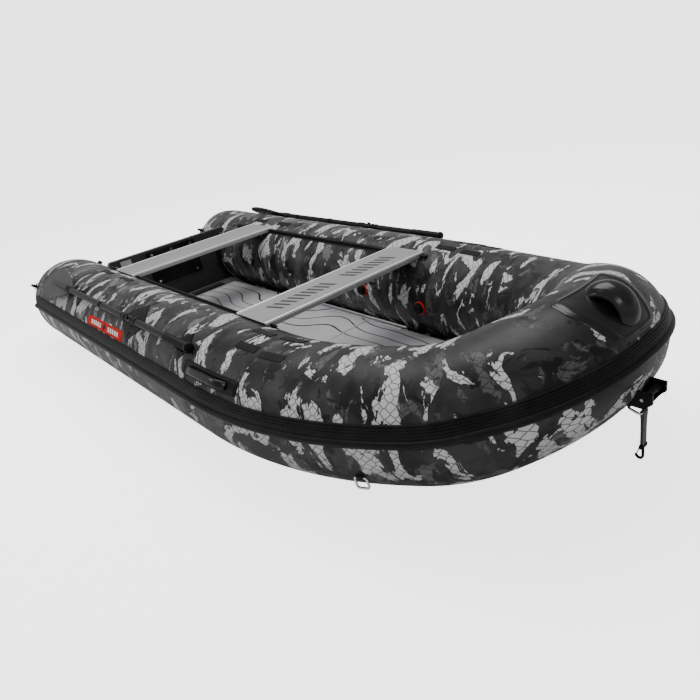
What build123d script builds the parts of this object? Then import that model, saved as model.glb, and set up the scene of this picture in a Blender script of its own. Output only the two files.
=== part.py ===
from build123d import *
import os
from math import atan2, cos, degrees, radians, sin

# An inflatable dinghy with a sectional aluminium floor, a wooden transom and a pair of oars.
# The bow points along +X, port is +Y, and the boat rests on the undersides of its side tubes at Z = 0.
# Angles on a tube are seen along its run: 0 is the outboard side, 90 the top and 180 the inboard side.

# ---- air tubes
tube_radius = 241
bow_radius = 205
tube_offset = 551
stern_end = -1804
cone_seam = -1610
baffle_x = 300
baffle_thickness = 4
shoulder_x = 850
cheek_inset = 183
nose_inset = 345
cheek = (1334, tube_offset - cheek_inset, 80)
nose = (1559, tube_offset - nose_inset, 188)
shoulder_bend = 2110
cheek_bend = 585
nose_bend = 355
bow_stations = 15
skin_gap = 0.4

# ---- rub strake
strake_low = 6
strake_high = 25
strake_thickness = 7
bead_low = 7.4
bead_high = 12.6
bead_height = 17
strake_stern = -1640

# ---- hull bottom and keel
sheet_thickness = 5
sheet_angle = -124
keel_low = 8
keel_width = 150
keel_height = 58
keel_start = -1330
keel_end = 455
guard_width = 60
guard_thickness = 4

# ---- floor
floor_top = 100
board_thickness = 18
board_half = 312
joint_gap = 3.6
board_joints = (-1262, -580, 110, 800)
aft_gap = 13.5
aft_board_half = 345
aft_slot = (222, 84)
aft_slot_y = 128
bow_board_end = 1040
joiner_width = 14
joiner_flange = 1.4
stringer_start = -700
stringer_end = 360
stringer_outer = 346
board_fit = 0.35

# ---- transom
transom_x = -1421
transom_thickness = 33
aft_board_start = transom_x + transom_thickness / 2 + aft_gap
transom_top = 441
transom_bottom = 46
transom_half = 392
transom_chamfer = 14
flange_reach = 26
flange_thickness = 10
pad_half = 165
pad_low = 215
pad_drop = 12
pad_thickness = 8
bolt_radius = 4
bolt_head = 7.5
head_well = 4
nut_well = 6
bolt_fit = 0.25
bolt_row = 410
bolt_step = 130
corner_bolt_y = 356
drain_y = -235
drain_z = 138
drain_bore = 12
drain_flange = 25
drain_fit = 0.06
plate_size = (66, 40)
plate_y = -292
plate_z = 408

# ---- benches and their rails
bench_width = 221
bench_half = 446
bench_top = 470
bench_depth = 26
bench_wall = 3
front_bench_x = 333
rear_bench_x = -988
bench_clearance = 4
rail_angle = 121
rail_width = 34
rail_base = 2.2
bead_radius = 4.5
bead_stand = 8.5
bead_fit = 0.9
rail_start = -1260
rail_end = 482

# ---- oars, their locks and keepers
oar_angle = 52.7
oar_radius = 15
oar_lift = 6.6
oar_stand = oar_radius + oar_lift
lock_x = -262
oar_tip = -1505
oar_end = 316
blade_length = 430
blade_width = 176
blade_thickness = 7
grip_length = 210
grip_wall = 3
grip_radius = oar_radius + grip_wall
collar_start = 36
collar_length = 40
pin_radius = 6
pin_fit = 0.05
lock_half = (122, 98)
lock_plate = 3
lock_boss = (54, 44)
keeper_places = ((-960, oar_radius, 7), (-1345, oar_radius, -13), (232, grip_radius, 7))
keeper_half = (52, 62)
keeper_wall = 5

# ---- fittings on the tubes
patch_thickness = 3
loop_length = 128
loop_arc = 9
badge_ends = (-756, -316)
badge_arc = (25.6, 38)
side_handle_ends = (282, 662)
side_handle_arc = (30, 44)
side_handle_height = 34
hand_slot = (150, 17)
valve_radius = 33
valve_stand = 1.2
valve_height = 7
valve_cap_radius = 24
valve_cap_height = 12
valve_bore = 15
valve_fit = 0.08
valve_points = ((100, 174, 1), (518, 180, 1), (100, 174, -1))
side_ring_run = 0.53
ring_angle = -24

# ---- fittings on the bow
handle_half = 112
handle_arc = (27, 95)
grip_half = 46
grip_arc = (38, 84)
grip_rise = 52
grip_thickness = 15
chock_x = 1804
chock_top = 368
chock_bottom = 312
chock_half = 48
cheek_wall = 9
roller_radius = 17
roller_pin = 5
ring_wire = 3.5
ring_stand = 9
side_ring_size = (46, 40)
bow_ring_size = (46, 42)
bow_ring_angle = -42
bow_ring_pitch = 16
strap_width = 26
strap_thickness = 3
strap_length = 118
hook_length = 62
hook_wire = 3.5
hook_bend = 11


# ---- geometry helpers

def side_plane(x, side=-1):
    """Section plane of a side tube at x: local x points outboard and local y points up."""
    return Plane(origin=(x, side * tube_offset, tube_radius), x_dir=(0, side, 0), z_dir=(side, 0, 0))


def bow_centreline():
    """Centreline of the bow tube, from the starboard baffle round to the port one."""
    half = [
        (baffle_x, -tube_offset, tube_radius),
        (shoulder_x, -tube_offset, tube_radius),
        (cheek[0], -cheek[1], tube_radius + cheek[2]),
        (nose[0], -nose[1], tube_radius + nose[2]),
    ]
    mirrored = [(x, -y, z) for x, y, z in reversed(half)]
    bends = [shoulder_bend, cheek_bend, nose_bend]
    with BuildLine() as line:
        FilletPolyline(*half, *mirrored, radius=bends + bends[::-1])
    return line.wire()


centreline = bow_centreline()
straight_length = centreline.edges().sort_by(Axis.X)[0].length
straight_run = straight_length / centreline.length * 2
bend_start = baffle_x + straight_length


def bow_plane(run):
    """Section plane of the bow tube: run 0 is the starboard baffle, 1 the stem and 2 the port baffle."""
    ahead = centreline % (run / 2)
    outward = ahead.cross(Vector(0, 0, 1)).normalized()
    return Plane(origin=centreline @ (run / 2), x_dir=outward, z_dir=-ahead)


def radius_at(run):
    """The bow tube tapers evenly from where its bend starts to the stem."""
    share = max(0, min(run, 2 - run) - straight_run) / (1 - straight_run)
    return tube_radius + (bow_radius - tube_radius) * share


def runs(first, last, count):
    """Evenly spaced places along the bow tube."""
    return [first + (last - first) * i / (count - 1) for i in range(count)]


bow_runs = runs(straight_run, 2 - straight_run, 2 * bow_stations - 1)


def polar(radius, angle):
    return (radius * cos(radians(angle)), radius * sin(radians(angle)))


def disc(plane, radius):
    with BuildSketch(plane) as sketch:
        Circle(radius)
    return sketch.sketch


def ring_band(plane, low, high, inner, outer):
    """Part of an annulus in a section plane, between two angles and two radii."""
    spread = [low, (low + high) / 2, high]
    with BuildSketch(plane) as sketch:
        with BuildLine():
            ThreePointArc(*[polar(inner, a) for a in spread])
            ThreePointArc(*[polar(outer, a) for a in spread])
            Line(polar(inner, low), polar(outer, low))
            Line(polar(inner, high), polar(outer, high))
        make_face()
    return sketch.sketch


def strake_band(plane, radius):
    """The strake's section: a thin band with a round bead near its lower edge."""
    inner = radius + skin_gap
    outer = radius + strake_thickness
    crest = radius + bead_height
    middle = (bead_low + bead_high) / 2
    with BuildSketch(plane) as sketch:
        with BuildLine():
            ThreePointArc(*[polar(inner, a) for a in (strake_low, (strake_low + strake_high) / 2, strake_high)])
            Line(polar(inner, strake_high), polar(outer, strake_high))
            ThreePointArc(*[polar(outer, a) for a in (strake_high, (strake_high + bead_high) / 2, bead_high)])
            ThreePointArc(polar(outer, bead_high), polar(crest, middle), polar(outer, bead_low))
            Line(polar(outer, bead_low), polar(inner, strake_low))
        make_face()
    return sketch.sketch


def tube_patch(ends, arc, inner, outer, side=-1):
    """A patch bent round a straight side tube, from one x to another."""
    band = ring_band(side_plane(ends[0], side), arc[0], arc[1], inner, outer)
    return extrude(band, amount=side * (ends[1] - ends[0]), mode=Mode.PRIVATE)


def on_tube(x, angle, stand=0, side=-1):
    """Plane that lies on a side tube at an angle, local x ahead and local z outwards."""
    normal = Vector(0, side * cos(radians(angle)), sin(radians(angle)))
    centre = Vector(x, side * tube_offset, tube_radius)
    return Plane(origin=centre + normal * (tube_radius + stand), x_dir=(1, 0, 0), z_dir=normal)


def tube_core(radius, side=-1):
    """A long cylinder on a side tube's axis, used to trim what is glued to the tube."""
    with BuildPart() as core:
        with BuildSketch(side_plane(stern_end, side)):
            Circle(radius)
        extrude(amount=side * (shoulder_x - stern_end))
    return core.part


def port_copy(piece):
    """The same piece on the port side."""
    with BuildPart() as copy:
        add(piece)
        mirror(about=Plane.XZ, mode=Mode.REPLACE)
    return copy.part


# ---- air chambers

with BuildPart() as starboard_tube:
    with BuildSketch(side_plane(cone_seam + skin_gap)):
        Circle(tube_radius)
    extrude(amount=-(baffle_x - baffle_thickness / 2 - cone_seam - 2 * skin_gap))

with BuildPart() as starboard_cone:
    with BuildSketch(Plane(origin=(0, -tube_offset, tube_radius), x_dir=(1, 0, 0), z_dir=(0, -1, 0))):
        with BuildLine():
            Line((stern_end, 0), (cone_seam, 0))
            Line((cone_seam, 0), (cone_seam, tube_radius))
            Spline(
                (cone_seam, tube_radius),
                (stern_end + 74, 0.92 * tube_radius),
                (stern_end + 16, 0.62 * tube_radius),
                (stern_end, 0),
                tangents=[(-1, 0), (0, -1)],
            )
        make_face()
    revolve(axis=Axis((0, -tube_offset, tube_radius), (1, 0, 0)))

with BuildPart() as bow_tube:
    with BuildSketch(side_plane(baffle_x + baffle_thickness / 2 + skin_gap)):
        Circle(tube_radius)
    extrude(amount=-(bend_start - baffle_x - baffle_thickness / 2 - skin_gap))
    mirror(about=Plane.XZ)
    loft([disc(bow_plane(r), radius_at(r)) for r in bow_runs])

with BuildPart() as bow_tube_gap:
    extrude(disc(side_plane(baffle_x - 120), tube_radius + skin_gap), amount=-(bend_start - baffle_x + 120))
    mirror(about=Plane.XZ)
    loft([disc(bow_plane(r), radius_at(r) + skin_gap) for r in bow_runs])

with BuildPart() as chamber_baffles:
    with BuildSketch(side_plane(baffle_x - baffle_thickness / 2 + skin_gap)):
        Circle(tube_radius - 2)
    extrude(amount=-(baffle_thickness - 2 * skin_gap))
    mirror(about=Plane.XZ)

# ---- rub strake

with BuildPart() as starboard_strake:
    loft([strake_band(bow_plane(r), radius_at(r)) for r in bow_runs])
    split(bisect_by=Plane.XZ.offset(skin_gap), keep=Keep.TOP)
    extrude(strake_band(side_plane(strake_stern), tube_radius), amount=-(bend_start - strake_stern))

# ---- hull bottom, keel tube and keel guard


def sheet_edge(run):
    """Where the hull bottom meets the underside of the bow tube."""
    return bow_plane(run).from_local_coords(polar(radius_at(run) + sheet_thickness + 3, sheet_angle))


def sheet_section(x, half, edge, keel):
    """A shallow V of cloth across the boat, from chine to chine."""
    with BuildSketch(Plane(origin=(x, 0, 0), x_dir=(0, 1, 0), z_dir=(1, 0, 0))) as sketch:
        with BuildLine():
            Polyline(
                (-half, edge),
                (0, keel),
                (half, edge),
                (half, edge + sheet_thickness),
                (0, keel + sheet_thickness),
                (-half, edge + sheet_thickness),
                close=True,
            )
        make_face()
    return sketch.sketch


chine = sheet_edge(0)
chine_height = chine.Z
chine_half = -chine.Y
sheet_places = [sheet_edge(r) for r in (straight_run, 0.35, 0.55, 0.72, 0.84, 0.93)]

with BuildPart() as hull_bottom:
    sheet_sections = [sheet_section(transom_x - transom_thickness / 2, chine_half, chine_height, keel_low)]
    for place in sheet_places:
        dip = (chine_height - keel_low) * place.Y / -chine_half
        sheet_sections.append(sheet_section(place.X, -place.Y, place.Z, place.Z - dip))
    loft(sheet_sections, ruled=True)

with BuildPart() as keel_tube:
    keel_middle = keel_low + sheet_thickness + 3 + keel_height / 2
    with BuildSketch(Plane(origin=(keel_start, 0, keel_middle), x_dir=(0, 1, 0), z_dir=(1, 0, 0))):
        Ellipse(keel_width / 2, keel_height / 2)
    extrude(amount=keel_end - keel_start)

with BuildPart() as keel_guard:
    with BuildSketch(Plane.XY.offset(keel_low - guard_thickness - skin_gap)):
        with Locations(((keel_start + bend_start) / 2, 0)):
            SlotOverall(bend_start - keel_start, guard_width)
    extrude(amount=guard_thickness)

# ---- sectional floor

board_low = floor_top - board_thickness
half_gap = joint_gap / 2


def floor_board(start, end):
    with BuildPart() as board:
        with BuildSketch(Plane.XY.offset(board_low)):
            with Locations(((start + end) / 2, 0)):
                Rectangle(end - start, 2 * board_half)
        extrude(amount=board_thickness)
        chamfer(board.edges().filter_by(Axis.Z), length=6)
    return board.part


with BuildPart() as aft_board:
    with BuildSketch(Plane.XY.offset(board_low)):
        with Locations(((aft_board_start + board_joints[0] - half_gap) / 2, 0)):
            Rectangle(board_joints[0] - half_gap - aft_board_start, 2 * aft_board_half)
            with Locations((0, -aft_slot_y), (0, aft_slot_y)):
                RectangleRounded(aft_slot[1], aft_slot[0], 8, mode=Mode.SUBTRACT)
    extrude(amount=board_thickness)

floor_boards = []
for start, end in zip(board_joints[:-1], board_joints[1:]):
    floor_boards.append(floor_board(start + half_gap, end - half_gap))

with BuildPart() as bow_board:
    with BuildSketch(Plane.XY.offset(board_low)):
        with BuildLine():
            Polyline(
                (board_joints[-1] + half_gap, -board_half),
                (board_joints[-1] + half_gap, board_half),
                (950, board_half - 46),
                (bow_board_end, 130),
                (bow_board_end, -130),
                (950, 46 - board_half),
                close=True,
            )
        make_face()
    extrude(amount=board_thickness)

with BuildPart() as floor_joiners:
    web_half = half_gap - board_fit
    for x in board_joints:
        with BuildSketch(Plane(origin=(x, board_half - 14, 0), x_dir=(1, 0, 0), z_dir=(0, -1, 0))):
            with Locations((0, board_low + board_thickness / 2)):
                Rectangle(2 * web_half, board_thickness + 2 * board_fit)
            with Locations((0, floor_top + board_fit + joiner_flange / 2)):
                Rectangle(joiner_width, joiner_flange)
            with Locations((0, board_low - board_fit - joiner_flange / 2)):
                Rectangle(2 * joiner_width, joiner_flange)
        extrude(amount=2 * (board_half - 14))


def stringer_profile():
    """Channel that grips the boards' edges, with two grooves along its top."""
    top = floor_top + board_fit
    low = board_low - board_fit
    with BuildSketch(Plane(origin=(stringer_start, 0, 0), x_dir=(0, 1, 0), z_dir=(1, 0, 0))) as sketch:
        with BuildLine():
            Polyline(
                (board_half - 9, top),
                (board_half + board_fit, top),
                (board_half + board_fit, low),
                (board_half - 9, low),
                (board_half - 9, low - 3),
                (stringer_outer - 4, low - 3),
                (stringer_outer, low + 5),
                (stringer_outer, top - 6),
                (stringer_outer - 6, top - 1),
                (stringer_outer - 9, top - 4),
                (stringer_outer - 13, top + 1),
                (stringer_outer - 17, top - 3),
                (stringer_outer - 21, top + 3),
                (board_half - 9, top + 3),
                close=True,
            )
        make_face()
    return sketch.sketch


with BuildPart() as floor_stringers:
    extrude(stringer_profile(), amount=stringer_end - stringer_start)
    mirror(about=Plane.XZ)

# ---- transom

board_front = transom_x + transom_thickness / 2
board_back = transom_x - transom_thickness / 2


def across(x):
    """Plane across the boat at x, local x to port and local y up."""
    return Plane(origin=(x, 0, 0), x_dir=(0, 1, 0), z_dir=(1, 0, 0))


bolt_points = [(y, bolt_row) for y in (-bolt_step, 0, bolt_step)]
bolt_points += [(y, pad_low + 22) for y in (-bolt_step, bolt_step)]
corner_points = [(-corner_bolt_y, bolt_row - 8), (corner_bolt_y, bolt_row - 8)]

with BuildPart() as transom_board:
    with BuildSketch(across(board_back)):
        with Locations((0, (transom_top + transom_bottom) / 2)):
            Rectangle(2 * transom_half, transom_top - transom_bottom)
        with Locations((-tube_offset, tube_radius), (tube_offset, tube_radius)):
            Circle(tube_radius + skin_gap, mode=Mode.SUBTRACT)
        with Locations(*bolt_points, *corner_points):
            Circle(bolt_radius + bolt_fit, mode=Mode.SUBTRACT)
        with Locations((drain_y, drain_z)):
            Circle(drain_bore + 4 + bolt_fit, mode=Mode.SUBTRACT)
    extrude(amount=transom_thickness)
    top_corners = transom_board.edges().filter_by(Axis.X).group_by(Axis.Z)[-1]
    chamfer(top_corners, length=transom_chamfer)

with BuildPart() as transom_flanges:
    for face_x in (board_back - skin_gap - flange_thickness, board_front + skin_gap):
        with BuildSketch(across(face_x)) as flange:
            with Locations((-tube_offset, tube_radius), (tube_offset, tube_radius)):
                Circle(tube_radius + flange_reach)
                Circle(tube_radius + skin_gap, mode=Mode.SUBTRACT)
            with Locations((0, (transom_top + transom_bottom) / 2 - 20)):
                Rectangle(2 * transom_half, transom_top - transom_bottom - 76, mode=Mode.INTERSECT)
        extrude(amount=flange_thickness)

pad_faces = (board_back - skin_gap - pad_thickness, board_front + skin_gap)

with BuildPart() as motor_pads:
    wells = (pad_faces[0], nut_well), (pad_faces[1] + pad_thickness - head_well, head_well)
    for face_x, (well_x, well) in zip(pad_faces, wells):
        with BuildSketch(across(face_x)):
            with Locations((0, (pad_low + transom_top - pad_drop) / 2)):
                RectangleRounded(2 * pad_half, transom_top - pad_drop - pad_low, 14)
            with Locations(*bolt_points):
                Circle(bolt_radius + bolt_fit, mode=Mode.SUBTRACT)
        extrude(amount=pad_thickness)
        with BuildSketch(across(well_x)):
            with Locations(*bolt_points):
                Circle(bolt_head + 1)
        extrude(amount=well, mode=Mode.SUBTRACT)

with BuildPart() as transom_bolts:
    for point in bolt_points + corner_points:
        reach = pad_thickness + skin_gap if point in bolt_points else 0
        head_x = board_front + max(0, reach - head_well) + skin_gap / 2
        nut_x = board_back - max(0, reach - nut_well) - skin_gap / 2
        with BuildSketch(across(nut_x)):
            with Locations(point):
                Circle(bolt_radius)
        extrude(amount=head_x - nut_x)
        with BuildSketch(across(head_x)):
            with Locations(point):
                Circle(bolt_head)
        extrude(amount=3)
        with BuildSketch(across(nut_x - 5)):
            with Locations(point):
                RegularPolygon(bolt_head, 6)
        extrude(amount=5)

drain_front = board_front + skin_gap
drain_back = board_back - skin_gap

with BuildPart() as drain_socket:
    with BuildSketch(across(drain_back - 4)):
        with Locations((drain_y, drain_z)):
            Circle(drain_flange)
    extrude(amount=4)
    with BuildSketch(across(drain_back)):
        with Locations((drain_y, drain_z)):
            Circle(drain_bore + 4)
    extrude(amount=drain_front + 4 - drain_back)
    with BuildSketch(across(drain_front)):
        with Locations((drain_y, drain_z)):
            Circle(drain_flange)
    extrude(amount=4)
    with BuildSketch(across(drain_back - 4)):
        with Locations((drain_y, drain_z)):
            Circle(drain_bore)
    extrude(amount=drain_front - drain_back + 8, mode=Mode.SUBTRACT)

with BuildPart() as drain_plug:
    with BuildSketch(across(drain_back - 4 - 0.4 - 6)):
        with Locations((drain_y, drain_z)):
            Circle(drain_bore + 7)
    extrude(amount=6)
    with BuildSketch(across(drain_back - 4.4)):
        with Locations((drain_y, drain_z)):
            Circle(drain_bore - drain_fit)
    extrude(amount=24)
    with BuildSketch(across(drain_back - 4.4 - 6 - 9)):
        with Locations((drain_y, drain_z)):
            Rectangle(2 * drain_bore + 8, 6)
    extrude(amount=9)

with BuildPart() as transom_plate:
    with BuildSketch(across(board_front + skin_gap)):
        with Locations((plate_y, plate_z)):
            RectangleRounded(*plate_size, 4)
    extrude(amount=1.2)

# ---- benches and the rails they slide on


def rail_section(radius_extra=0.0):
    """A glued foot, a neck and a round bead, standing on the tube; the extra widens neck and bead."""
    outward = tube_radius + bead_stand
    with BuildSketch(side_plane(rail_start)) as sketch:
        with Locations(polar(outward, rail_angle)):
            Circle(bead_radius + radius_extra)
        with Locations(Location(polar(tube_radius + bead_stand / 2, rail_angle), rail_angle)):
            Rectangle(bead_stand, 3 + 2 * radius_extra)
    return sketch.sketch


rail_arc = degrees(rail_width / 2 / tube_radius)

with BuildPart() as starboard_seat_rail:
    extrude(rail_section(), amount=-(rail_end - rail_start))
    add(tube_patch(
        (rail_start, rail_end),
        (rail_angle - rail_arc, rail_angle + rail_arc),
        tube_radius - 2,
        tube_radius + rail_base,
    ))
    add(tube_core(tube_radius + skin_gap), mode=Mode.SUBTRACT)


def bench(x):
    """An aluminium plank, open below, with solid ends that hook over the rails' beads."""
    start = x - bench_width / 2
    with BuildPart() as plank:
        with BuildSketch(Plane.XY.offset(bench_top - bench_depth)):
            with Locations((x, 0)):
                Rectangle(bench_width, 2 * bench_half)
        extrude(amount=bench_depth)
        with BuildSketch(Plane.XY.offset(bench_top - bench_depth)):
            with Locations((x - bench_width / 4 + bench_wall / 4, 0), (x + bench_width / 4 - bench_wall / 4, 0)):
                Rectangle(bench_width / 2 - 1.5 * bench_wall, 2 * bench_half - 120)
        extrude(amount=bench_depth - bench_wall, mode=Mode.SUBTRACT)
        chamfer(plank.edges().filter_by(Axis.Y).group_by(Axis.Z)[-1], length=1.5)
        trim = tube_core(tube_radius + bench_clearance)
        add(trim, mode=Mode.SUBTRACT)
        add(trim.mirror(Plane.XZ), mode=Mode.SUBTRACT)
        groove = extrude(rail_section(bead_fit), amount=-(rail_end - rail_start), mode=Mode.PRIVATE)
        add(groove, mode=Mode.SUBTRACT)
        add(groove.mirror(Plane.XZ), mode=Mode.SUBTRACT)
    return plank.part


front_bench = bench(front_bench_x)
rear_bench = bench(rear_bench_x)

# ---- oars

oar_plane = on_tube(lock_x, oar_angle, oar_stand)


def along_oar(x):
    """Plane across the starboard oar at x, looking forward."""
    normal = oar_plane.z_dir
    return Plane(origin=oar_plane.origin + Vector(x - lock_x, 0, 0), x_dir=normal, z_dir=(1, 0, 0))


neck_x = oar_tip + blade_length

with BuildPart() as starboard_oar_shaft:
    with BuildSketch(along_oar(neck_x - 60)):
        Circle(oar_radius)
    extrude(amount=oar_end - grip_length + 60 - neck_x + 60 - 0.4)
    with BuildSketch(oar_plane):
        Circle(pin_radius + pin_fit)
    extrude(amount=2 * oar_radius, both=True, mode=Mode.SUBTRACT)

with BuildPart() as starboard_oar_grip:
    with BuildSketch(along_oar(oar_end - grip_length)):
        Circle(grip_radius)
    extrude(amount=grip_length)
    with BuildSketch(along_oar(oar_end - grip_length)):
        Circle(oar_radius + 0.3)
    extrude(amount=60, mode=Mode.SUBTRACT)
    with BuildSketch(along_oar(oar_end - 16)):
        Circle(grip_radius + 3)
    extrude(amount=16)
    for collar_x in (lock_x - collar_start - collar_length, lock_x + collar_start):
        with BuildSketch(along_oar(collar_x)):
            Circle(grip_radius)
            Circle(oar_radius + 0.3, mode=Mode.SUBTRACT)
        extrude(amount=collar_length)

with BuildPart() as starboard_oar_blade:
    with BuildSketch(oar_plane.offset(-blade_thickness / 2)):
        with Locations((oar_tip + blade_length / 2 - lock_x, 0)):
            Ellipse(blade_length / 2, blade_width / 2)
    extrude(amount=blade_thickness)
    with BuildSketch(along_oar(neck_x - 170)):
        Circle(oar_radius + 4)
    extrude(amount=178)
    with BuildSketch(along_oar(neck_x - 60.4)):
        Circle(oar_radius + 0.4)
    extrude(amount=90, mode=Mode.SUBTRACT)

# ---- oarlocks and oar keepers on the tubes


def diamond(plane, half_along, half_round):
    with BuildSketch(plane) as sketch:
        Polygon((-half_along, 0), (0, half_round), (half_along, 0), (0, -half_round), align=None)
    return sketch.sketch


with BuildPart() as oarlock_bases:
    extrude(diamond(on_tube(lock_x, oar_angle, -60), *lock_half), amount=120)
    add(tube_core(tube_radius + lock_plate), mode=Mode.INTERSECT)
    boss_top = oar_stand - oar_radius - 1.2
    loft([
        diamond(on_tube(lock_x, oar_angle, -4), *lock_boss),
        diamond(on_tube(lock_x, oar_angle, boss_top), lock_boss[0] * 0.55, lock_boss[1] * 0.55),
    ])
    add(tube_core(tube_radius + skin_gap), mode=Mode.SUBTRACT)
    with BuildSketch(on_tube(lock_x, oar_angle)):
        Circle(pin_radius + bolt_fit)
    extrude(amount=30, mode=Mode.SUBTRACT)
    mirror(about=Plane.XZ)

with BuildPart() as oarlock_pins:
    with BuildSketch(on_tube(lock_x, oar_angle, 1)):
        Circle(pin_radius)
    extrude(amount=oar_stand + oar_radius + 5)
    with BuildSketch(on_tube(lock_x, oar_angle, oar_stand + oar_radius + 1.5)):
        Circle(pin_radius + 5)
    extrude(amount=5)
    mirror(about=Plane.XZ)


def keeper(x, held_radius, hook_top, side_sign):
    """A glued diamond with a low rest and a hook, open on one side, for a round of that radius."""
    with BuildPart() as piece:
        extrude(diamond(on_tube(x, oar_angle, -40), *keeper_half), amount=80)
        add(tube_core(tube_radius + patch_thickness), mode=Mode.INTERSECT)
        with BuildSketch(Plane(
            origin=on_tube(x - 13, oar_angle, oar_stand).origin,
            x_dir=on_tube(x, oar_angle).y_dir * side_sign,
            z_dir=Vector(side_sign, 0, 0),
        )):
            reach = held_radius + 1.5
            low = -oar_stand - 6
            with Locations((reach + keeper_wall / 2, (hook_top + low) / 2)):
                Rectangle(keeper_wall, hook_top - low)
            with Locations((reach / 2 - 5, (low - reach) / 2)):
                Rectangle(reach + 20, -reach - low)
        extrude(amount=side_sign * 26)
        add(tube_core(tube_radius + skin_gap), mode=Mode.SUBTRACT)
    return piece.part


with BuildPart() as oar_keepers:
    for keeper_x, held_radius, hook_top in keeper_places:
        add(keeper(keeper_x, held_radius, hook_top, 1 if keeper_x < lock_x else -1))
    mirror(about=Plane.XZ)

# ---- cloth patches, badges and eyes


def curved_patch(run, half_run, low, high, thickness):
    """A patch bent round the bow tube."""
    places = runs(run - half_run, run + half_run, 4)
    bands = [ring_band(bow_plane(r), low, high, radius_at(r) + skin_gap, radius_at(r) + thickness) for r in places]
    return loft(bands, mode=Mode.PRIVATE)


def run_at(x):
    """Where along the bow tube the centreline reaches x, on its straight and gently bent part."""
    return (x - baffle_x) / (centreline.length / 2)


with BuildPart() as strap_patches:
    for x in (-1144, -874):
        add(tube_patch((x, x + loop_length), (98, 107), tube_radius + skin_gap, tube_radius + patch_thickness))
    for x, low in ((578, 71), (734, 68), (544, 96), (720, 97)):
        add(curved_patch(run_at(x), loop_length / 2 / (centreline.length / 2), low, low + loop_arc, patch_thickness))
    mirror(about=Plane.XZ)

with BuildPart() as side_badges:
    add(tube_patch(badge_ends, badge_arc, tube_radius + skin_gap, tube_radius + 1.6))
    mirror(about=Plane.XZ)


def eye(x, angle):
    """A glued pad with a moulded loop standing on it, on a stern cone."""
    lift = cone_radius(x) - tube_radius
    with BuildPart() as piece:
        with BuildSketch(on_tube(x, angle, lift - 4)):
            RectangleRounded(64, 44, 10)
        extrude(amount=4 + patch_thickness)
        with BuildSketch(on_tube(x, angle, lift)):
            RectangleRounded(44, 16, 6)
        extrude(amount=30)
        with BuildSketch(Plane(
            origin=on_tube(x, angle, lift + 15).origin,
            x_dir=(1, 0, 0),
            z_dir=on_tube(x, angle).y_dir,
        )):
            SlotOverall(28, 14)
        extrude(amount=20, both=True, mode=Mode.SUBTRACT)
        add(starboard_cone_gap, mode=Mode.SUBTRACT)
    return piece.part


def cone_radius(x):
    """Radius of the stern cone, near its seam."""
    share = (cone_seam - x) / (cone_seam - stern_end - 74)
    return tube_radius * (1 - 0.08 * share ** 2)


starboard_cone_gap = offset(starboard_cone.part, amount=skin_gap, mode=Mode.PRIVATE)

with BuildPart() as stern_eyes:
    for angle in (36, 141):
        add(eye(-1690, angle))
    mirror(about=Plane.XZ)

# ---- air valves


def valve_plane(x, angle, side, stand=0.0):
    """Plane on the inboard face of a chamber, facing into the boat."""
    if x < bend_start:
        return on_tube(x, angle, stand, side)
    section = bow_plane(run_at(x))
    across_tube = section.from_local_coords(polar(radius_at(run_at(x)) + stand, angle))
    normal = (across_tube - section.origin).normalized()
    if side > 0:
        across_tube = Vector(across_tube.X, -across_tube.Y, across_tube.Z)
        normal = Vector(normal.X, -normal.Y, normal.Z)
    return Plane(origin=across_tube, x_dir=(1, 0, 0), z_dir=normal)


with BuildPart() as valve_bodies:
    for x, angle, side in valve_points:
        with BuildSketch(valve_plane(x, angle, side, valve_stand)):
            Circle(valve_radius - 6)
            Circle(valve_bore, mode=Mode.SUBTRACT)
        extrude(amount=valve_height)

with BuildPart() as valve_rings:
    for x, angle, side in valve_points:
        with BuildSketch(valve_plane(x, angle, side, -3)):
            Circle(valve_radius)
            Circle(valve_radius - 5.7, mode=Mode.SUBTRACT)
        extrude(amount=valve_height + 2)
    for side in (-1, 1):
        add(tube_core(tube_radius + skin_gap, side), mode=Mode.SUBTRACT)
    add(bow_tube_gap.part, mode=Mode.SUBTRACT)


def valve_cap(x, angle, side):
    """A bayonet cap with a finger bar and a stem that seats in the valve's bore."""
    with BuildPart() as cap:
        with BuildSketch(valve_plane(x, angle, side, valve_stand + valve_height + 0.4)):
            Circle(valve_cap_radius)
        extrude(amount=valve_cap_height)
        chamfer(cap.faces().sort_by(SortBy.AREA)[-1].edges(), length=1.5)
        with BuildSketch(valve_plane(x, angle, side, valve_stand + 2)):
            Circle(valve_bore - valve_fit)
        extrude(amount=valve_height)
        with BuildSketch(valve_plane(x, angle, side, valve_stand + valve_height + 0.4 + valve_cap_height - 0.5)):
            SlotOverall(2 * valve_cap_radius - 8, 7)
        extrude(amount=5)
    return cap.part


port_valve_cap = valve_cap(*valve_points[0])
bow_valve_cap = valve_cap(*valve_points[1])
starboard_valve_cap = valve_cap(*valve_points[2])

# ---- carry handles on the sides


def side_handle():
    """A moulded grip on a glued pad, with a hand hole between grip and tube."""
    middle = (side_handle_arc[0] + side_handle_arc[1]) / 2
    start, end = side_handle_ends
    centre_run = run_at((start + end) / 2)
    plane = bow_plane(centre_run)
    normal_point = plane.from_local_coords(polar(radius_at(centre_run), middle))
    normal = (normal_point - plane.origin).normalized()
    ahead = -plane.z_dir
    face = Plane(origin=normal_point, x_dir=ahead, z_dir=normal)
    length = end - start
    with BuildPart() as handle:
        with BuildSketch(face.offset(-14)):
            RectangleRounded(length, 62, 14)
        extrude(amount=20)
        with BuildSketch(face):
            RectangleRounded(length - 90, 30, 12)
        extrude(amount=side_handle_height)
        with BuildSketch(Plane(origin=face.from_local_coords((0, 0, 14)), x_dir=ahead, z_dir=face.y_dir)):
            SlotOverall(*hand_slot)
        extrude(amount=60, both=True, mode=Mode.SUBTRACT)
    return handle.part


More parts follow.
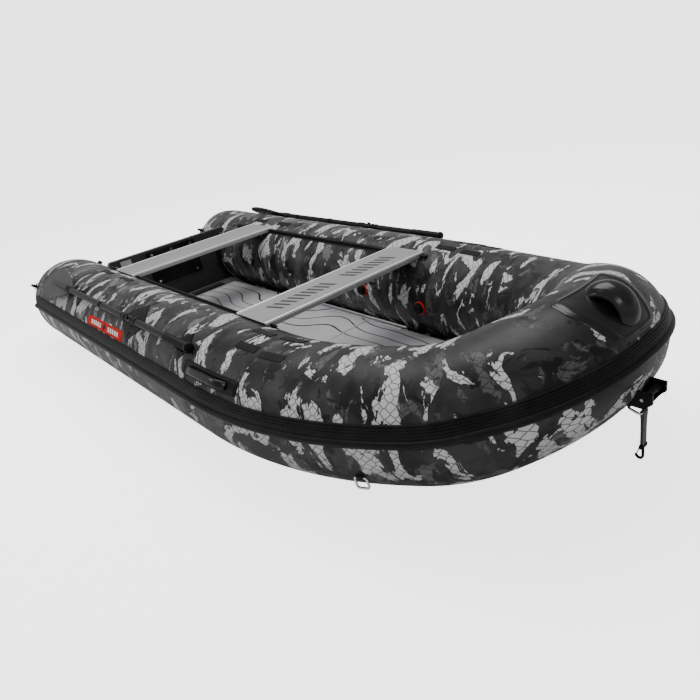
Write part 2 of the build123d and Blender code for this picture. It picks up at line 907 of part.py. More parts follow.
with BuildPart() as starboard_side_handle:
    add(side_handle())
    add(bow_tube_gap.part, mode=Mode.SUBTRACT)

# ---- bow handle, on top of the bow tube

nose_x = nose[0]
nose_z = tube_radius + nose[2]


def bow_face(y):
    """Fore-and-aft plane at y, with its origin on the bow tube's axis at the stem."""
    return Plane(origin=(nose_x, y, nose_z), x_dir=(1, 0, 0), z_dir=(0, -1, 0))


handle_run = 1 - handle_half / (centreline.length / 2)

with BuildPart() as bow_handle_patch:
    bands = [
        ring_band(bow_plane(r), *handle_arc, radius_at(r) - 3, radius_at(r) + patch_thickness + 1)
        for r in runs(handle_run, 2 - handle_run, 9)
    ]
    loft(bands)
    add(bow_tube_gap.part, mode=Mode.SUBTRACT)

with BuildPart() as bow_handle:
    base = bow_radius + patch_thickness + 3
    with BuildSketch(bow_face(grip_half)):
        with BuildLine():
            foot_a = polar(base, grip_arc[0])
            foot_b = polar(base, grip_arc[1])
            middle_angle = (grip_arc[0] + grip_arc[1]) / 2
            ThreePointArc(foot_a, polar(base + grip_rise, middle_angle), foot_b)
            ThreePointArc(foot_a, polar(base - 1.2, middle_angle), foot_b)
        make_face()
        with BuildLine():
            hole_a = polar(base + 5, grip_arc[0] + 8)
            hole_b = polar(base + 5, grip_arc[1] - 8)
            ThreePointArc(hole_a, polar(base + grip_rise - grip_thickness, middle_angle), hole_b)
            ThreePointArc(hole_a, polar(base + 6, middle_angle), hole_b)
        make_face(mode=Mode.SUBTRACT)
    extrude(amount=2 * grip_half)

# ---- bow chock with its roller

chock_middle = (chock_top + chock_bottom) / 2
chock_back = nose_x + bow_radius - 40
roller_x = chock_x - 30
roller_z = chock_middle + 4

with BuildPart() as bow_chock:
    with BuildSketch(Plane(origin=(chock_back, 0, 0), x_dir=(0, 1, 0), z_dir=(1, 0, 0))):
        with Locations((0, chock_middle)):
            Rectangle(2 * chock_half, chock_top - chock_bottom)
        with Locations((0, chock_middle + cheek_wall)):
            Rectangle(2 * (chock_half - cheek_wall), chock_top - chock_bottom, mode=Mode.SUBTRACT)
    extrude(amount=chock_x - chock_back)
    with BuildSketch(Plane.XZ.offset(-chock_half - 1)):
        with Locations((roller_x, roller_z)):
            Circle(roller_pin + bolt_fit)
    extrude(amount=2 * chock_half + 2, mode=Mode.SUBTRACT)
    with BuildSketch(Plane.XZ.offset(-chock_half - 1)):
        with BuildLine():
            Polyline(
                (chock_x + 1, chock_bottom - 1),
                (chock_x + 1, chock_bottom + 24),
                (chock_x - 26, chock_bottom - 1),
                close=True,
            )
        make_face()
    extrude(amount=2 * chock_half + 2, mode=Mode.SUBTRACT)
    add(bow_tube_gap.part, mode=Mode.SUBTRACT)

with BuildPart() as chock_pin:
    with BuildSketch(Plane.XZ.offset(-chock_half - 4)):
        with Locations((roller_x, roller_z)):
            Circle(roller_pin)
    extrude(amount=2 * chock_half + 8)

with BuildPart() as chock_roller:
    with BuildSketch(Plane(origin=(roller_x, 0, roller_z), x_dir=(0, 1, 0), z_dir=(1, 0, 0))):
        half = chock_half - cheek_wall - 0.6
        with BuildLine():
            Line((-half, roller_pin + pin_fit), (half, roller_pin + pin_fit))
            Line((half, roller_pin + pin_fit), (half, roller_radius))
            ThreePointArc((half, roller_radius), (0, roller_radius - 6), (-half, roller_radius))
            Line((-half, roller_radius), (-half, roller_pin + pin_fit))
        make_face()
    revolve(axis=Axis((roller_x, 0, roller_z), (0, 1, 0)))

# ---- rings with their pads and tabs


def spoke(section, radius, angle):
    """A point round a tube's section."""
    return section.from_local_coords(polar(radius, angle))


def ring(pivot, along, down, width, drop):
    """A ring of round wire hanging from a straight bar through the pivot."""
    corner = min(width, drop) * 0.3
    frame = Plane(origin=pivot, x_dir=along, z_dir=along.cross(down))
    with BuildPart() as loop:
        with BuildSketch(frame.offset(-ring_wire)):
            with Locations((0, drop / 2)):
                RectangleRounded(width + 2 * ring_wire, drop + 2 * ring_wire, corner)
                RectangleRounded(width - 2 * ring_wire, drop - 2 * ring_wire, corner - 2 * ring_wire, mode=Mode.SUBTRACT)
        extrude(amount=2 * ring_wire)
        fillet(loop.edges(), radius=ring_wire * 0.6)
        bar = Plane(origin=pivot, z_dir=along)
        with BuildSketch(bar.offset(-width / 2 + corner)):
            Rectangle(4 * ring_wire, 4 * ring_wire)
            Circle(ring_wire - 0.4, mode=Mode.SUBTRACT)
        extrude(amount=width - 2 * corner, mode=Mode.SUBTRACT)
    return loop.part


def ring_tab(pivot, along, outwards, width, drop):
    """The moulded tab that a ring's bar turns in."""
    half = min(width, drop) * 0.18
    with BuildPart() as tab:
        with BuildSketch(Plane(origin=pivot - along * half, x_dir=outwards, z_dir=along)):
            Circle(ring_wire + 3)
            with Locations((-7, 0)):
                Rectangle(14, 2 * ring_wire + 6)
            Circle(ring_wire - 0.4 + pin_fit, mode=Mode.SUBTRACT)
        extrude(amount=2 * half)
    return tab.part


side_section = bow_plane(side_ring_run)
side_pivot = spoke(side_section, radius_at(side_ring_run) + ring_stand, ring_angle)
side_outward = (side_pivot - side_section.origin).normalized()
side_ahead = -side_section.z_dir
down = Vector(0, 0, -1)
side_hang = (down - side_ahead * down.dot(side_ahead)).normalized()

bow_outward = Vector(cos(radians(bow_ring_angle)), 0, sin(radians(bow_ring_angle)))
bow_pivot = Vector(nose_x, 0, nose_z) + bow_outward * (bow_radius + ring_stand)
bow_hang = Vector(cos(radians(bow_ring_pitch)), 0, -sin(radians(bow_ring_pitch)))
bow_front = bow_pivot + bow_hang * bow_ring_size[1]

starboard_side_ring = ring(side_pivot, side_ahead, side_hang, *side_ring_size)
bow_ring = ring(bow_pivot, Vector(0, 1, 0), bow_hang, *bow_ring_size)

with BuildPart() as ring_patches:
    add(ring_tab(side_pivot, side_ahead, side_outward, *side_ring_size))
    add(curved_patch(side_ring_run, 55 / (centreline.length / 2), ring_angle - 3, 3, patch_thickness))
    mirror(about=Plane.XZ)
    add(ring_tab(bow_pivot, Vector(0, 1, 0), bow_outward, *bow_ring_size))
    with BuildSketch(bow_face(34)):
        with Locations(polar(bow_radius, bow_ring_angle - 12)):
            Circle(42)
        Circle(bow_radius + patch_thickness + 1, mode=Mode.INTERSECT)
    extrude(amount=68)
    add(bow_tube_gap.part, mode=Mode.SUBTRACT)

# ---- bow strap and snap hook


def slab(profile_width, centre_y=0):
    """Fore-and-aft plane from which a piece of that width is extruded evenly about Y = 0."""
    return Plane(origin=(0, centre_y + profile_width / 2, 0), x_dir=(1, 0, 0), z_dir=(0, -1, 0))


strap_top = (bow_front.X, bow_front.Z)
strap_low = bow_front.Z - strap_length

with BuildPart() as bow_strap:
    with BuildSketch(slab(strap_width)):
        with Locations(strap_top):
            Circle(ring_wire + 1.2 + strap_thickness)
        with Locations((bow_front.X, (bow_front.Z - ring_wire + strap_low) / 2)):
            Rectangle(strap_thickness * 2, bow_front.Z - ring_wire - strap_low)
        with Locations(strap_top):
            Circle(ring_wire + 1.2, mode=Mode.SUBTRACT)
    extrude(amount=strap_width)

hook_top = strap_low - 0.4
hook_eye = hook_top - hook_length + hook_bend + hook_wire

with BuildPart() as snap_hook:
    with BuildSketch(slab(strap_width + 4)):
        with Locations((bow_front.X, hook_top - 7)):
            RectangleRounded(14, 14, 3)
    extrude(amount=strap_width + 4)
    with BuildSketch(slab(2 * hook_wire)):
        with BuildLine():
            Line((bow_front.X - hook_wire, hook_top - 10), (bow_front.X + hook_wire, hook_top - 10))
            Line((bow_front.X + hook_wire, hook_top - 10), (bow_front.X + hook_wire, hook_eye))
            RadiusArc((bow_front.X + hook_wire, hook_eye), (bow_front.X - 2 * hook_bend - hook_wire, hook_eye),
                      hook_bend + hook_wire)
            Line((bow_front.X - 2 * hook_bend - hook_wire, hook_eye), (bow_front.X - 2 * hook_bend + hook_wire, hook_eye))
            RadiusArc((bow_front.X - 2 * hook_bend + hook_wire, hook_eye), (bow_front.X - hook_wire, hook_eye),
                      -(hook_bend - hook_wire))
            Line((bow_front.X - hook_wire, hook_eye), (bow_front.X - hook_wire, hook_top - 10))
        make_face()
    extrude(amount=2 * hook_wire)
    with BuildSketch(slab(14)):
        with Locations(gate_pivot := (bow_front.X - 9, hook_top - 20)):
            Circle(4)
        with Locations((bow_front.X - 4.5, hook_top - 17)):
            Rectangle(12, 10)
    extrude(amount=14)
    with BuildSketch(slab(7)):
        with Locations(gate_pivot):
            Circle(5)
        with Locations((bow_front.X - 13, hook_top - 22)):
            Rectangle(16, 9)
    extrude(amount=7, mode=Mode.SUBTRACT)
    with BuildSketch(slab(14)):
        with Locations(gate_pivot):
            Circle(1.5 + pin_fit)
    extrude(amount=14, mode=Mode.SUBTRACT)

gate_tip = (bow_front.X - 2 * hook_bend, hook_eye + 1.5)

with BuildPart() as hook_gate:
    lean = Vector(*gate_tip) - Vector(*gate_pivot)
    with BuildSketch(slab(6)):
        with Locations(gate_pivot):
            Circle(3.6)
        with Locations(Location((Vector(*gate_tip) + Vector(*gate_pivot)) * 0.5, degrees(atan2(lean.Y, lean.X)))):
            Rectangle(lean.length - 1, 3.4)
    extrude(amount=6)
    with BuildSketch(slab(13)):
        with Locations(gate_pivot):
            Circle(1.5)
    extrude(amount=13)

# ---- labels and files

pieces = {
    "starboard_tube": starboard_tube.part,
    "starboard_cone": starboard_cone.part,
    "bow_tube": bow_tube.part,
    "chamber_baffles": chamber_baffles.part,
    "starboard_strake": starboard_strake.part,
    "hull_bottom": hull_bottom.part,
    "keel_tube": keel_tube.part,
    "keel_guard": keel_guard.part,
    "aft_board": aft_board.part,
    "floor_board_1": floor_boards[0],
    "floor_board_2": floor_boards[1],
    "floor_board_3": floor_boards[2],
    "bow_board": bow_board.part,
    "floor_joiners": floor_joiners.part,
    "floor_stringers": floor_stringers.part,
    "transom_board": transom_board.part,
    "transom_flanges": transom_flanges.part,
    "motor_pads": motor_pads.part,
    "transom_bolts": transom_bolts.part,
    "drain_socket": drain_socket.part,
    "drain_plug": drain_plug.part,
    "transom_plate": transom_plate.part,
    "starboard_seat_rail": starboard_seat_rail.part,
    "front_bench": front_bench,
    "rear_bench": rear_bench,
    "starboard_oar_shaft": starboard_oar_shaft.part,
    "starboard_oar_grip": starboard_oar_grip.part,
    "starboard_oar_blade": starboard_oar_blade.part,
    "oarlock_bases": oarlock_bases.part,
    "oarlock_pins": oarlock_pins.part,
    "oar_keepers": oar_keepers.part,
    "strap_patches": strap_patches.part,
    "side_badges": side_badges.part,
    "stern_eyes": stern_eyes.part,
    "valve_bodies": valve_bodies.part,
    "valve_rings": valve_rings.part,
    "port_valve_cap": port_valve_cap,
    "bow_valve_cap": bow_valve_cap,
    "starboard_valve_cap": starboard_valve_cap,
    "starboard_side_handle": starboard_side_handle.part,
    "bow_handle_patch": bow_handle_patch.part,
    "bow_handle": bow_handle.part,
    "bow_chock": bow_chock.part,
    "chock_pin": chock_pin.part,
    "chock_roller": chock_roller.part,
    "ring_patches": ring_patches.part,
    "starboard_side_ring": starboard_side_ring,
    "bow_ring": bow_ring,
    "bow_strap": bow_strap.part,
    "snap_hook": snap_hook.part,
    "hook_gate": hook_gate.part,
}

mirrored = ("tube", "cone", "strake", "seat_rail", "oar_shaft", "oar_grip", "oar_blade", "side_handle", "side_ring")
for name in mirrored:
    pieces["port_" + name] = port_copy(pieces["starboard_" + name])

os.makedirs("parts", exist_ok=True)
for name, piece in pieces.items():
    piece.label = name
    export_step(piece, f"parts/{name}.step")
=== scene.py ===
# %% [markdown]
# An inflatable dinghy, dressed up for its portrait. The measured CAD model comes in first and stays as it is:
# it carries the joints and the sizes. Everything soft or finely shaped is modelled again around it here, and
# every surface gets a procedural finish.

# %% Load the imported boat
import math

import bmesh
import bpy
from mathutils import Matrix, Vector


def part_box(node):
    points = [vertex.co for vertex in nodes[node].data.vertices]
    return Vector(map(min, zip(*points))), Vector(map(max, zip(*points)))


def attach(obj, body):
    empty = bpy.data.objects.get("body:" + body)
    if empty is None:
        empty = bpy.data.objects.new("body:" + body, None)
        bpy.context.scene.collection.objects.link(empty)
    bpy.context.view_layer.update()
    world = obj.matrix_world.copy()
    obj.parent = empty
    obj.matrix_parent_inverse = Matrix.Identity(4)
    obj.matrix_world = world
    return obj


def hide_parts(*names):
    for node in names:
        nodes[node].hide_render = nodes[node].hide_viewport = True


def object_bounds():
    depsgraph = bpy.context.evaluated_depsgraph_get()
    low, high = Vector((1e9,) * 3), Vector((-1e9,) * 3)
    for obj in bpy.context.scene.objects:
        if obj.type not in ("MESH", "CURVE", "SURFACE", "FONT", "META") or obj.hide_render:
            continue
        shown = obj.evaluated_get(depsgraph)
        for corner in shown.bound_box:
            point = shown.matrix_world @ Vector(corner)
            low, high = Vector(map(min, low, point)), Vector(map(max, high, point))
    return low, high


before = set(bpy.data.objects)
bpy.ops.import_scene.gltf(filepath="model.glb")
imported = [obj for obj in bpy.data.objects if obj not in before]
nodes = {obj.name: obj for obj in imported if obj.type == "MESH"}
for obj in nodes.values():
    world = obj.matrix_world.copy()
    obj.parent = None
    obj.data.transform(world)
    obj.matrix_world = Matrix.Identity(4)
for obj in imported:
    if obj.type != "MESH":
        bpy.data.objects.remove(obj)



def put_in_scene(name, data):
    made = bpy.data.objects.new(name, data)
    bpy.context.scene.collection.objects.link(made)
    return made


cad_bounds = [list(corner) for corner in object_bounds()]
print("boat size", [round(b - a, 3) for a, b in zip(*cad_bounds)])

# %% [markdown]
# The camera stands off the starboard bow, a little above the boat, and close enough for strong perspective.
# Its place and direction are written as plain numbers. The picture is framed off the lens axis, as a crop
# from a wider shot would be, so the lens is shifted a little as well as turned.

# %% Camera
camera_place = Vector((2.4520, -1.4728, 1.3395))
camera_azimuth = math.radians(48.843)
camera_height = math.radians(26.409)
camera_roll = math.radians(-9.238)

camera_data = bpy.data.cameras.new("portrait_camera")
camera_data.sensor_width = 36
camera_data.lens = 31.15
camera_data.shift_x = -0.09
camera_data.clip_end = 100
camera = put_in_scene("portrait_camera", camera_data)
level_turn = Matrix.Rotation(camera_azimuth, 4, "Z") @ Matrix.Rotation(math.pi / 2 - camera_height, 4, "X")
camera.matrix_world = Matrix.Translation(camera_place) @ level_turn @ Matrix.Rotation(camera_roll, 4, "Z")
bpy.context.scene.camera = camera
print("camera looks along", [round(v, 3) for v in -camera.matrix_world.col[2].to_3d()])

# %% [markdown]
# Shader nodes are easier to read as arithmetic. This class wraps one output of a node: adding, multiplying
# or comparing it adds the Math node that does so, and `node` adds any other kind. Settings are applied before
# the sockets, because a node can change its sockets with its settings.


# %% Shader arithmetic
class Signal:
    """One output of a shader node."""

    def __init__(self, tree, socket=None):
        self.tree = tree
        self.socket = socket

    def node(self, kind, settings, sockets, out=0):
        """Adds a node: its settings first, then the values or links of its sockets."""
        made = self.tree.nodes.new(kind)
        for key, value in settings.items():
            if key == "stops":
                ramp = made.color_ramp
                for index, (place, shade) in enumerate(value):
                    stop = ramp.elements[index] if index < 2 else ramp.elements.new(place)
                    stop.position = place
                    stop.color = shade
            else:
                setattr(made, key, value)
        for key, value in sockets.items():
            if isinstance(value, Signal):
                self.tree.links.new(value.socket, made.inputs[key])
            else:
                made.inputs[key].default_value = value
        return Signal(self.tree, made.outputs[out])

    def math(self, operation, first, second):
        return self.node("ShaderNodeMath", {"operation": operation}, {0: first, 1: second})

    def __add__(self, other):
        return self.math("ADD", self, other)

    __radd__ = __add__

    def __sub__(self, other):
        return self.math("SUBTRACT", self, other)

    def __rsub__(self, other):
        return self.math("SUBTRACT", other, self)

    def __mul__(self, other):
        return self.math("MULTIPLY", self, other)

    __rmul__ = __mul__

    def __gt__(self, other):
        return self.math("GREATER_THAN", self, other)

    def __lt__(self, other):
        return self.math("LESS_THAN", self, other)

    def axis(self, number):
        return self.node("ShaderNodeSeparateXYZ", {}, {0: self}, out=number)

    def size(self):
        return self.node("ShaderNodeMath", {"operation": "ABSOLUTE"}, {0: self})

    def step(self, low, high):
        """0 below low, 1 above high, and a smooth step between."""
        return self.node(
            "ShaderNodeMapRange",
            {"interpolation_type": "SMOOTHSTEP"},
            {"Value": self, "From Min": low, "From Max": high},
        )

    def mix(self, first, second):
        """A colour between two colours, by this amount."""
        return self.node("ShaderNodeMix", {"data_type": "RGBA"}, {0: self, 6: first, 7: second}, out=2)


# %% [markdown]
# Every finish starts from the same Principled shader. What is the same all over goes straight on its socket,
# and what varies is linked. `place_on` picks where a pattern lives: on the cloth, through the piece's UV map
# in metres, or in space, through its object coordinates.


# %% Starting a finish
def grey(value):
    return (value, value, value * 1.03, 1)


class Finish:
    """A material with its Principled shader, and the coordinates that patterns use."""

    def __init__(self, name, **constants):
        self.material = bpy.data.materials.new(name)
        self.material.use_nodes = True
        self.tree = self.material.node_tree
        self.shader = self.tree.nodes["Principled BSDF"]
        self.start = Signal(self.tree)
        for key, value in constants.items():
            self.shader.inputs[key.replace("_", " ").title()].default_value = value

    def place_on(self, where, scale=(1, 1, 1), turn=0.0):
        """Coordinates on the cloth ("UV") or in space ("Object"), stretched and turned."""
        source = self.start.node("ShaderNodeTexCoord", {}, {}, out=where)
        return self.start.node("ShaderNodeMapping", {}, {"Vector": source, "Scale": scale, "Rotation": (0, 0, turn)})

    def noise(self, vector, scale, detail=2.0, roughness=0.5, distortion=0.0):
        return self.start.node(
            "ShaderNodeTexNoise",
            {},
            {"Vector": vector, "Scale": scale, "Detail": detail, "Roughness": roughness, "Distortion": distortion},
        )

    def fix(self, name, value):
        self.shader.inputs[name].default_value = value

    def link(self, name, signal):
        self.tree.links.new(signal.socket, self.shader.inputs[name])

    def bump(self, height, distance, strength=1.0):
        bumped = self.start.node("ShaderNodeBump", {}, {"Height": height, "Distance": distance, "Strength": strength})
        self.link("Normal", bumped)


# %% [markdown]
# The boat's cloth is PVC coated on both sides, printed with a grey camouflage. The print has four layers:
# a soft mottled ground, near-black blotches, dull mid-grey blotches, and pale ragged patches that carry a net
# of thin dark lines. Each layer is a noise cut at a threshold. The cloth is laid out flat in the UV map, so
# the print keeps its size round the tubes, and the net is the edges of a Voronoi pattern.


# %% Camouflage cloth
def camouflage(name, ground=(0.007, 0.032), pale=0.50, where="UV"):
    finish = Finish(name)
    finish.fix("Specular IOR Level", 0.22)
    flat = finish.place_on(where, scale=(1.0, 0.8, 1.0), turn=0.35)
    far = finish.place_on(where, scale=(1.3, 0.75, 1.0), turn=0.3)
    net_place = finish.place_on(where, turn=0.785)

    mottle = finish.noise(flat, 6.5, 5, 0.6, 0.4).step(0.36, 0.66)
    colour = mottle.mix(grey(ground[0]), grey(ground[1]))
    cells = finish.start.node(
        "ShaderNodeTexVoronoi",
        {"feature": "DISTANCE_TO_EDGE", "voronoi_dimensions": "2D" if where == "UV" else "3D"},
        {"Vector": net_place, "Scale": 40.0, "Randomness": 0.45},
    )
    net = cells.step(0.03, 0.085)
    mid = finish.noise(far, 10.5, 5, 0.62, 0.6).step(0.56, 0.60)
    colour = mid.mix(colour, net.mix(grey(ground[1] * 0.9), grey(ground[1] * 2.2)))
    black = finish.noise(flat, 12.0, 4, 0.6, 0.9).step(0.57, 0.60)
    colour = black.mix(colour, grey(0.0035))

    patch = finish.noise(far, 7.6, 6, 0.58, 0.9)
    shape = patch.step(0.558, 0.563)
    tone = finish.noise(flat, 18.0, 2).mix(grey(pale * 0.8), grey(pale * 1.15))
    netted = net.mix(grey(0.09), tone)
    colour = shape.mix(colour, netted)
    finish.link("Base Color", colour)

    scuff = finish.noise(net_place, 4.0, 4, 0.6)
    finish.link("Roughness", scuff * 0.16 + 0.34)
    weave = finish.noise(net_place, 900.0, 1)
    dimples = finish.noise(net_place, 9.0, 2)
    finish.bump(weave * 0.08 + dimples, 0.0022, 0.35)
    return finish.material


tube_cloth = camouflage("tube_cloth")
side_cloth = camouflage("side_cloth", ground=(0.014, 0.060), pale=0.48)
bottom_cloth = camouflage("bottom_cloth", ground=(0.010, 0.040), pale=0.42)
cone_cloth = camouflage("cone_cloth", ground=(0.030, 0.080), pale=0.42, where="Object")
print("cloth finishes made")

# %% [markdown]
# Rubber, moulded nylon and gloss plastic differ mostly in how they scatter light. Each gets a dark base with
# faint dust in its colour, a roughness that wanders a little, and a fine grain in its bump.


# %% Rubber and plastics
def moulded(name, shade, rough, grain, grain_size=260.0, coat=0.0, gloss=0.10):
    finish = Finish(name, coat_weight=coat, coat_roughness=0.12)
    finish.fix("Specular IOR Level", gloss)
    space = finish.place_on("Object")
    dust = finish.noise(space, 9.0, 5, 0.65)
    lighter = tuple(min(1.0, c * 1.35 + 0.006) for c in shade[:3]) + (1,)
    finish.link("Base Color", dust.step(0.35, 0.75).mix(shade, lighter))
    finish.link("Roughness", dust * 0.18 + (rough - 0.09))
    finish.bump(finish.noise(space, grain_size, 2), 0.0006, grain)
    return finish.material


rubber = moulded("strake_rubber", grey(0.006), 0.40, 0.25)
patch_rubber = moulded("patch_rubber", grey(0.005), 0.48, 0.30)
nylon = moulded("black_nylon", grey(0.004), 0.36, 0.20)
gloss_black = moulded("gloss_black", grey(0.003), 0.24, 0.05, gloss=0.35)
oar_grey = moulded("oar_blade_grey", grey(0.045), 0.38, 0.15)
oar_dark = moulded("oar_tube_dark", grey(0.012), 0.33, 0.12)
valve_red = moulded("valve_red", (0.42, 0.018, 0.016, 1), 0.38, 0.10)
print("moulded finishes made")

# %% [markdown]
# Aluminium shows how it was made: extrusions carry fine lines along their length. A noise that is stretched
# a hundredfold one way gives those lines, in the roughness and in the bump.


# %% Metals
def brushed(name, shade, rough, stretch, metallic=1.0):
    finish = Finish(name, metallic=metallic)
    lines = finish.noise(finish.place_on("Object", scale=stretch), 220.0, 2)
    cloudy = finish.noise(finish.place_on("Object"), 7.0, 3)
    finish.link("Base Color", cloudy.mix(grey(shade * 0.88), grey(min(1.0, shade * 1.06))))
    finish.link("Roughness", lines * 0.14 + (rough - 0.07))
    finish.bump(lines, 0.0004, 0.15)
    return finish.material


# Painted highlight: the bench lip strips get a near-white base colour that stands in for light on their rounded edges.
lip_highlight_metal = brushed("lip_highlight_metal", 0.95, 0.30, (1, 0.02, 1), metallic=0.35)
edge_metal = brushed("extruded_aluminium", 0.72, 0.32, (0.02, 1, 1), 0.75)
aft_metal = brushed("aft_board_grey", 0.10, 0.45, (0.02, 1, 1), 0.4)
plate_metal = brushed("blank_plate", 0.48, 0.38, (1, 0.02, 1), 0.6)
steel = brushed("polished_steel", 0.72, 0.20, (1, 1, 1))
print("metals made")

# %% [markdown]
# The floor boards are aluminium sheet printed with contour lines, like a map of hills. A smooth noise is the
# height of the land, and a thin dark line is drawn wherever the height crosses a round number.

# %% Contoured floor boards
floor_finish = Finish("contoured_floor", metallic=0.35)
board_across = floor_finish.place_on("Object").axis(1)
land_place = floor_finish.place_on("Object", scale=(0.62, 1.0, 0.0), turn=0.15)
land = floor_finish.noise(land_place, 2.3, 1.0, 0.3) * 7.0 + board_across * 9.0
level = land.math("PINGPONG", land, 0.5)
line = 1 - level.step(0.035, 0.06)
tint = floor_finish.noise(floor_finish.place_on("Object"), 3.0, 3)
board_colour = tint.mix(grey(0.42), grey(0.60))
floor_finish.link("Base Color", line.mix(board_colour, grey(0.012)))
floor_finish.link("Roughness", tint * 0.15 + 0.24)
floor_finish.bump(line * -1.0, 0.0008, 0.4)
print("floor finish made")

# %% [markdown]
# The transom is plywood sealed in black paint. The grain of the outer veneer still shows through the paint as
# long shallow ripples across the board.

# %% Painted plywood
ply_finish = Finish("painted_plywood", coat_weight=0.1, coat_roughness=0.3)
grain = ply_finish.noise(ply_finish.place_on("Object", scale=(1, 0.08, 1)), 60.0, 4, 0.6)
ply_finish.link("Base Color", grain.mix(grey(0.010), grey(0.022)))
ply_finish.link("Roughness", grain * 0.15 + 0.40)
ply_finish.bump(grain, 0.0008, 0.4)
plywood = ply_finish.material

# %% [markdown]
# Webbing is woven in ribs. A wave along the strap gives the ribs, and a second one across it breaks them up.

# %% Webbing
webbing_finish = Finish("black_webbing", sheen_weight=0.3)
webbing_place = webbing_finish.place_on("Object")
ribs = webbing_finish.start.node(
    "ShaderNodeTexWave", {"bands_direction": "Z"}, {"Vector": webbing_place, "Scale": 110.0, "Distortion": 0.6}, out=1
)
webbing_finish.link("Base Color", ribs.mix(grey(0.006), grey(0.022)))
webbing_finish.link("Roughness", ribs * 0.1 + 0.7)
webbing_finish.bump(ribs, 0.001, 0.8)
webbing = webbing_finish.material
print("plywood and webbing made")

# %% [markdown]
# Sizes of the air chambers, read from the CAD boxes where a box gives them. Angles round a tube are measured
# from its outboard side: 90 degrees is the top and 180 faces into the boat.

# %% Tube sizes
SIDES = ((-1, "starboard"), (1, "port"))
AHEAD, PORTWARD, UP = Vector((1, 0, 0)), Vector((0, 1, 0)), Vector((0, 0, 1))
tube_low, tube_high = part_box("starboard_tube")
tube_radius = (tube_high.z - tube_low.z) / 2
tube_offset = -(tube_low.y + tube_high.y) / 2
cone_seam = tube_low.x
baffle_x = 0.300
bow_radius = 0.205
bow_corners = [
    (baffle_x, -tube_offset, tube_radius),
    (0.850, -tube_offset, tube_radius),
    (1.334, -0.368, tube_radius + 0.080),
    (1.559, -0.206, tube_radius + 0.188),
]
bow_bends = [2.110, 0.585, 0.355]
print("tube radius", round(tube_radius, 4), "centre", round(tube_offset, 4))

# %% [markdown]
# The bow tube's centreline is straight runs joined by arcs, the way a pipe fitter would set it out. It is
# walked by distance, so a place along it is one number: 0 at the starboard joint, 1 at the stem and 2 at the
# port joint.


# %% Bow centreline
def straight_leg(start, end):
    ahead = (end - start).normalized()
    return (end - start).length, lambda d: (start + ahead * d, ahead)


def arc_leg(start, into, away, bend):
    inward = (away - into * into.dot(away)).normalized()
    centre = start + inward * bend

    def walk(d):
        turn = d / bend
        ahead = into * math.cos(turn) + inward * math.sin(turn)
        return centre - inward * bend * math.cos(turn) + into * bend * math.sin(turn), ahead

    return into.angle(away) * bend, walk


def bow_route():
    half = [Vector(p) for p in bow_corners]
    corners = half + [Vector((p.x, -p.y, p.z)) for p in reversed(half)]
    bends = bow_bends + bow_bends[::-1]
    legs = []
    here = corners[0]
    for before, corner, after, bend in zip(corners, corners[1:], corners[2:], bends):
        into = (corner - before).normalized()
        away = (after - corner).normalized()
        cut = bend * math.tan(into.angle(away) / 2)
        legs.append(straight_leg(here, corner - into * cut))
        legs.append(arc_leg(corner - into * cut, into, away, bend))
        here = corner + away * cut
    legs.append(straight_leg(here, corners[-1]))
    return legs


bow_legs = bow_route()
bow_length = sum(length for length, walk in bow_legs)
straight_run = bow_legs[0][0] / bow_length * 2
print("bow tube length", round(bow_length, 3))

# %% [markdown]
# A station is one cross-section of a tube: its centre, its outboard and upward directions, its radius and the
# distance along the boat's cloth. `skin` gives a point on or above the cloth at an angle.


# %% Stations
class Station:
    def __init__(self, centre, outward, upward, radius, along):
        self.centre = centre
        self.outward = outward
        self.upward = upward
        self.radius = radius
        self.along = along

    def skin(self, angle, height=0.0):
        turn = math.radians(angle)
        return self.centre + (self.outward * math.cos(turn) + self.upward * math.sin(turn)) * (self.radius + height)


def side_station(x, side=-1, radius=None):
    centre = Vector((x, side * tube_offset, tube_radius))
    return Station(centre, Vector((0, side, 0)), UP, radius or tube_radius, x)


def bow_station(run):
    distance = run / 2 * bow_length
    along = baffle_x + distance
    for length, walk in bow_legs:
        if distance <= length or walk is bow_legs[-1][1]:
            centre, ahead = walk(distance)
            break
        distance -= length
    share = max(0, min(run, 2 - run) - straight_run) / (1 - straight_run)
    outward = ahead.cross(UP).normalized()
    radius = tube_radius + (bow_radius - tube_radius) * share
    return Station(centre, outward, outward.cross(ahead), radius, along)


def run_of(metres):
    """A length on the bow tube, as a difference of runs."""
    return metres / bow_length * 2


def bow_places(runs, side):
    """Stations at these runs of the starboard half, or at their mirror places, in the same order of distance."""
    places = [bow_station(run if side < 0 else 2 - run) for run in runs]
    return places if side < 0 else places[::-1]


def spread(first, last, count):
    return [first + (last - first) * i / (count - 1) for i in range(count)]


# %% [markdown]
# Most soft pieces are swept: a row of points is extruded from station to station. The row's last point may lie
# on its first, and is welded to it at the end, so the UV map can run right round without a wrapped face.


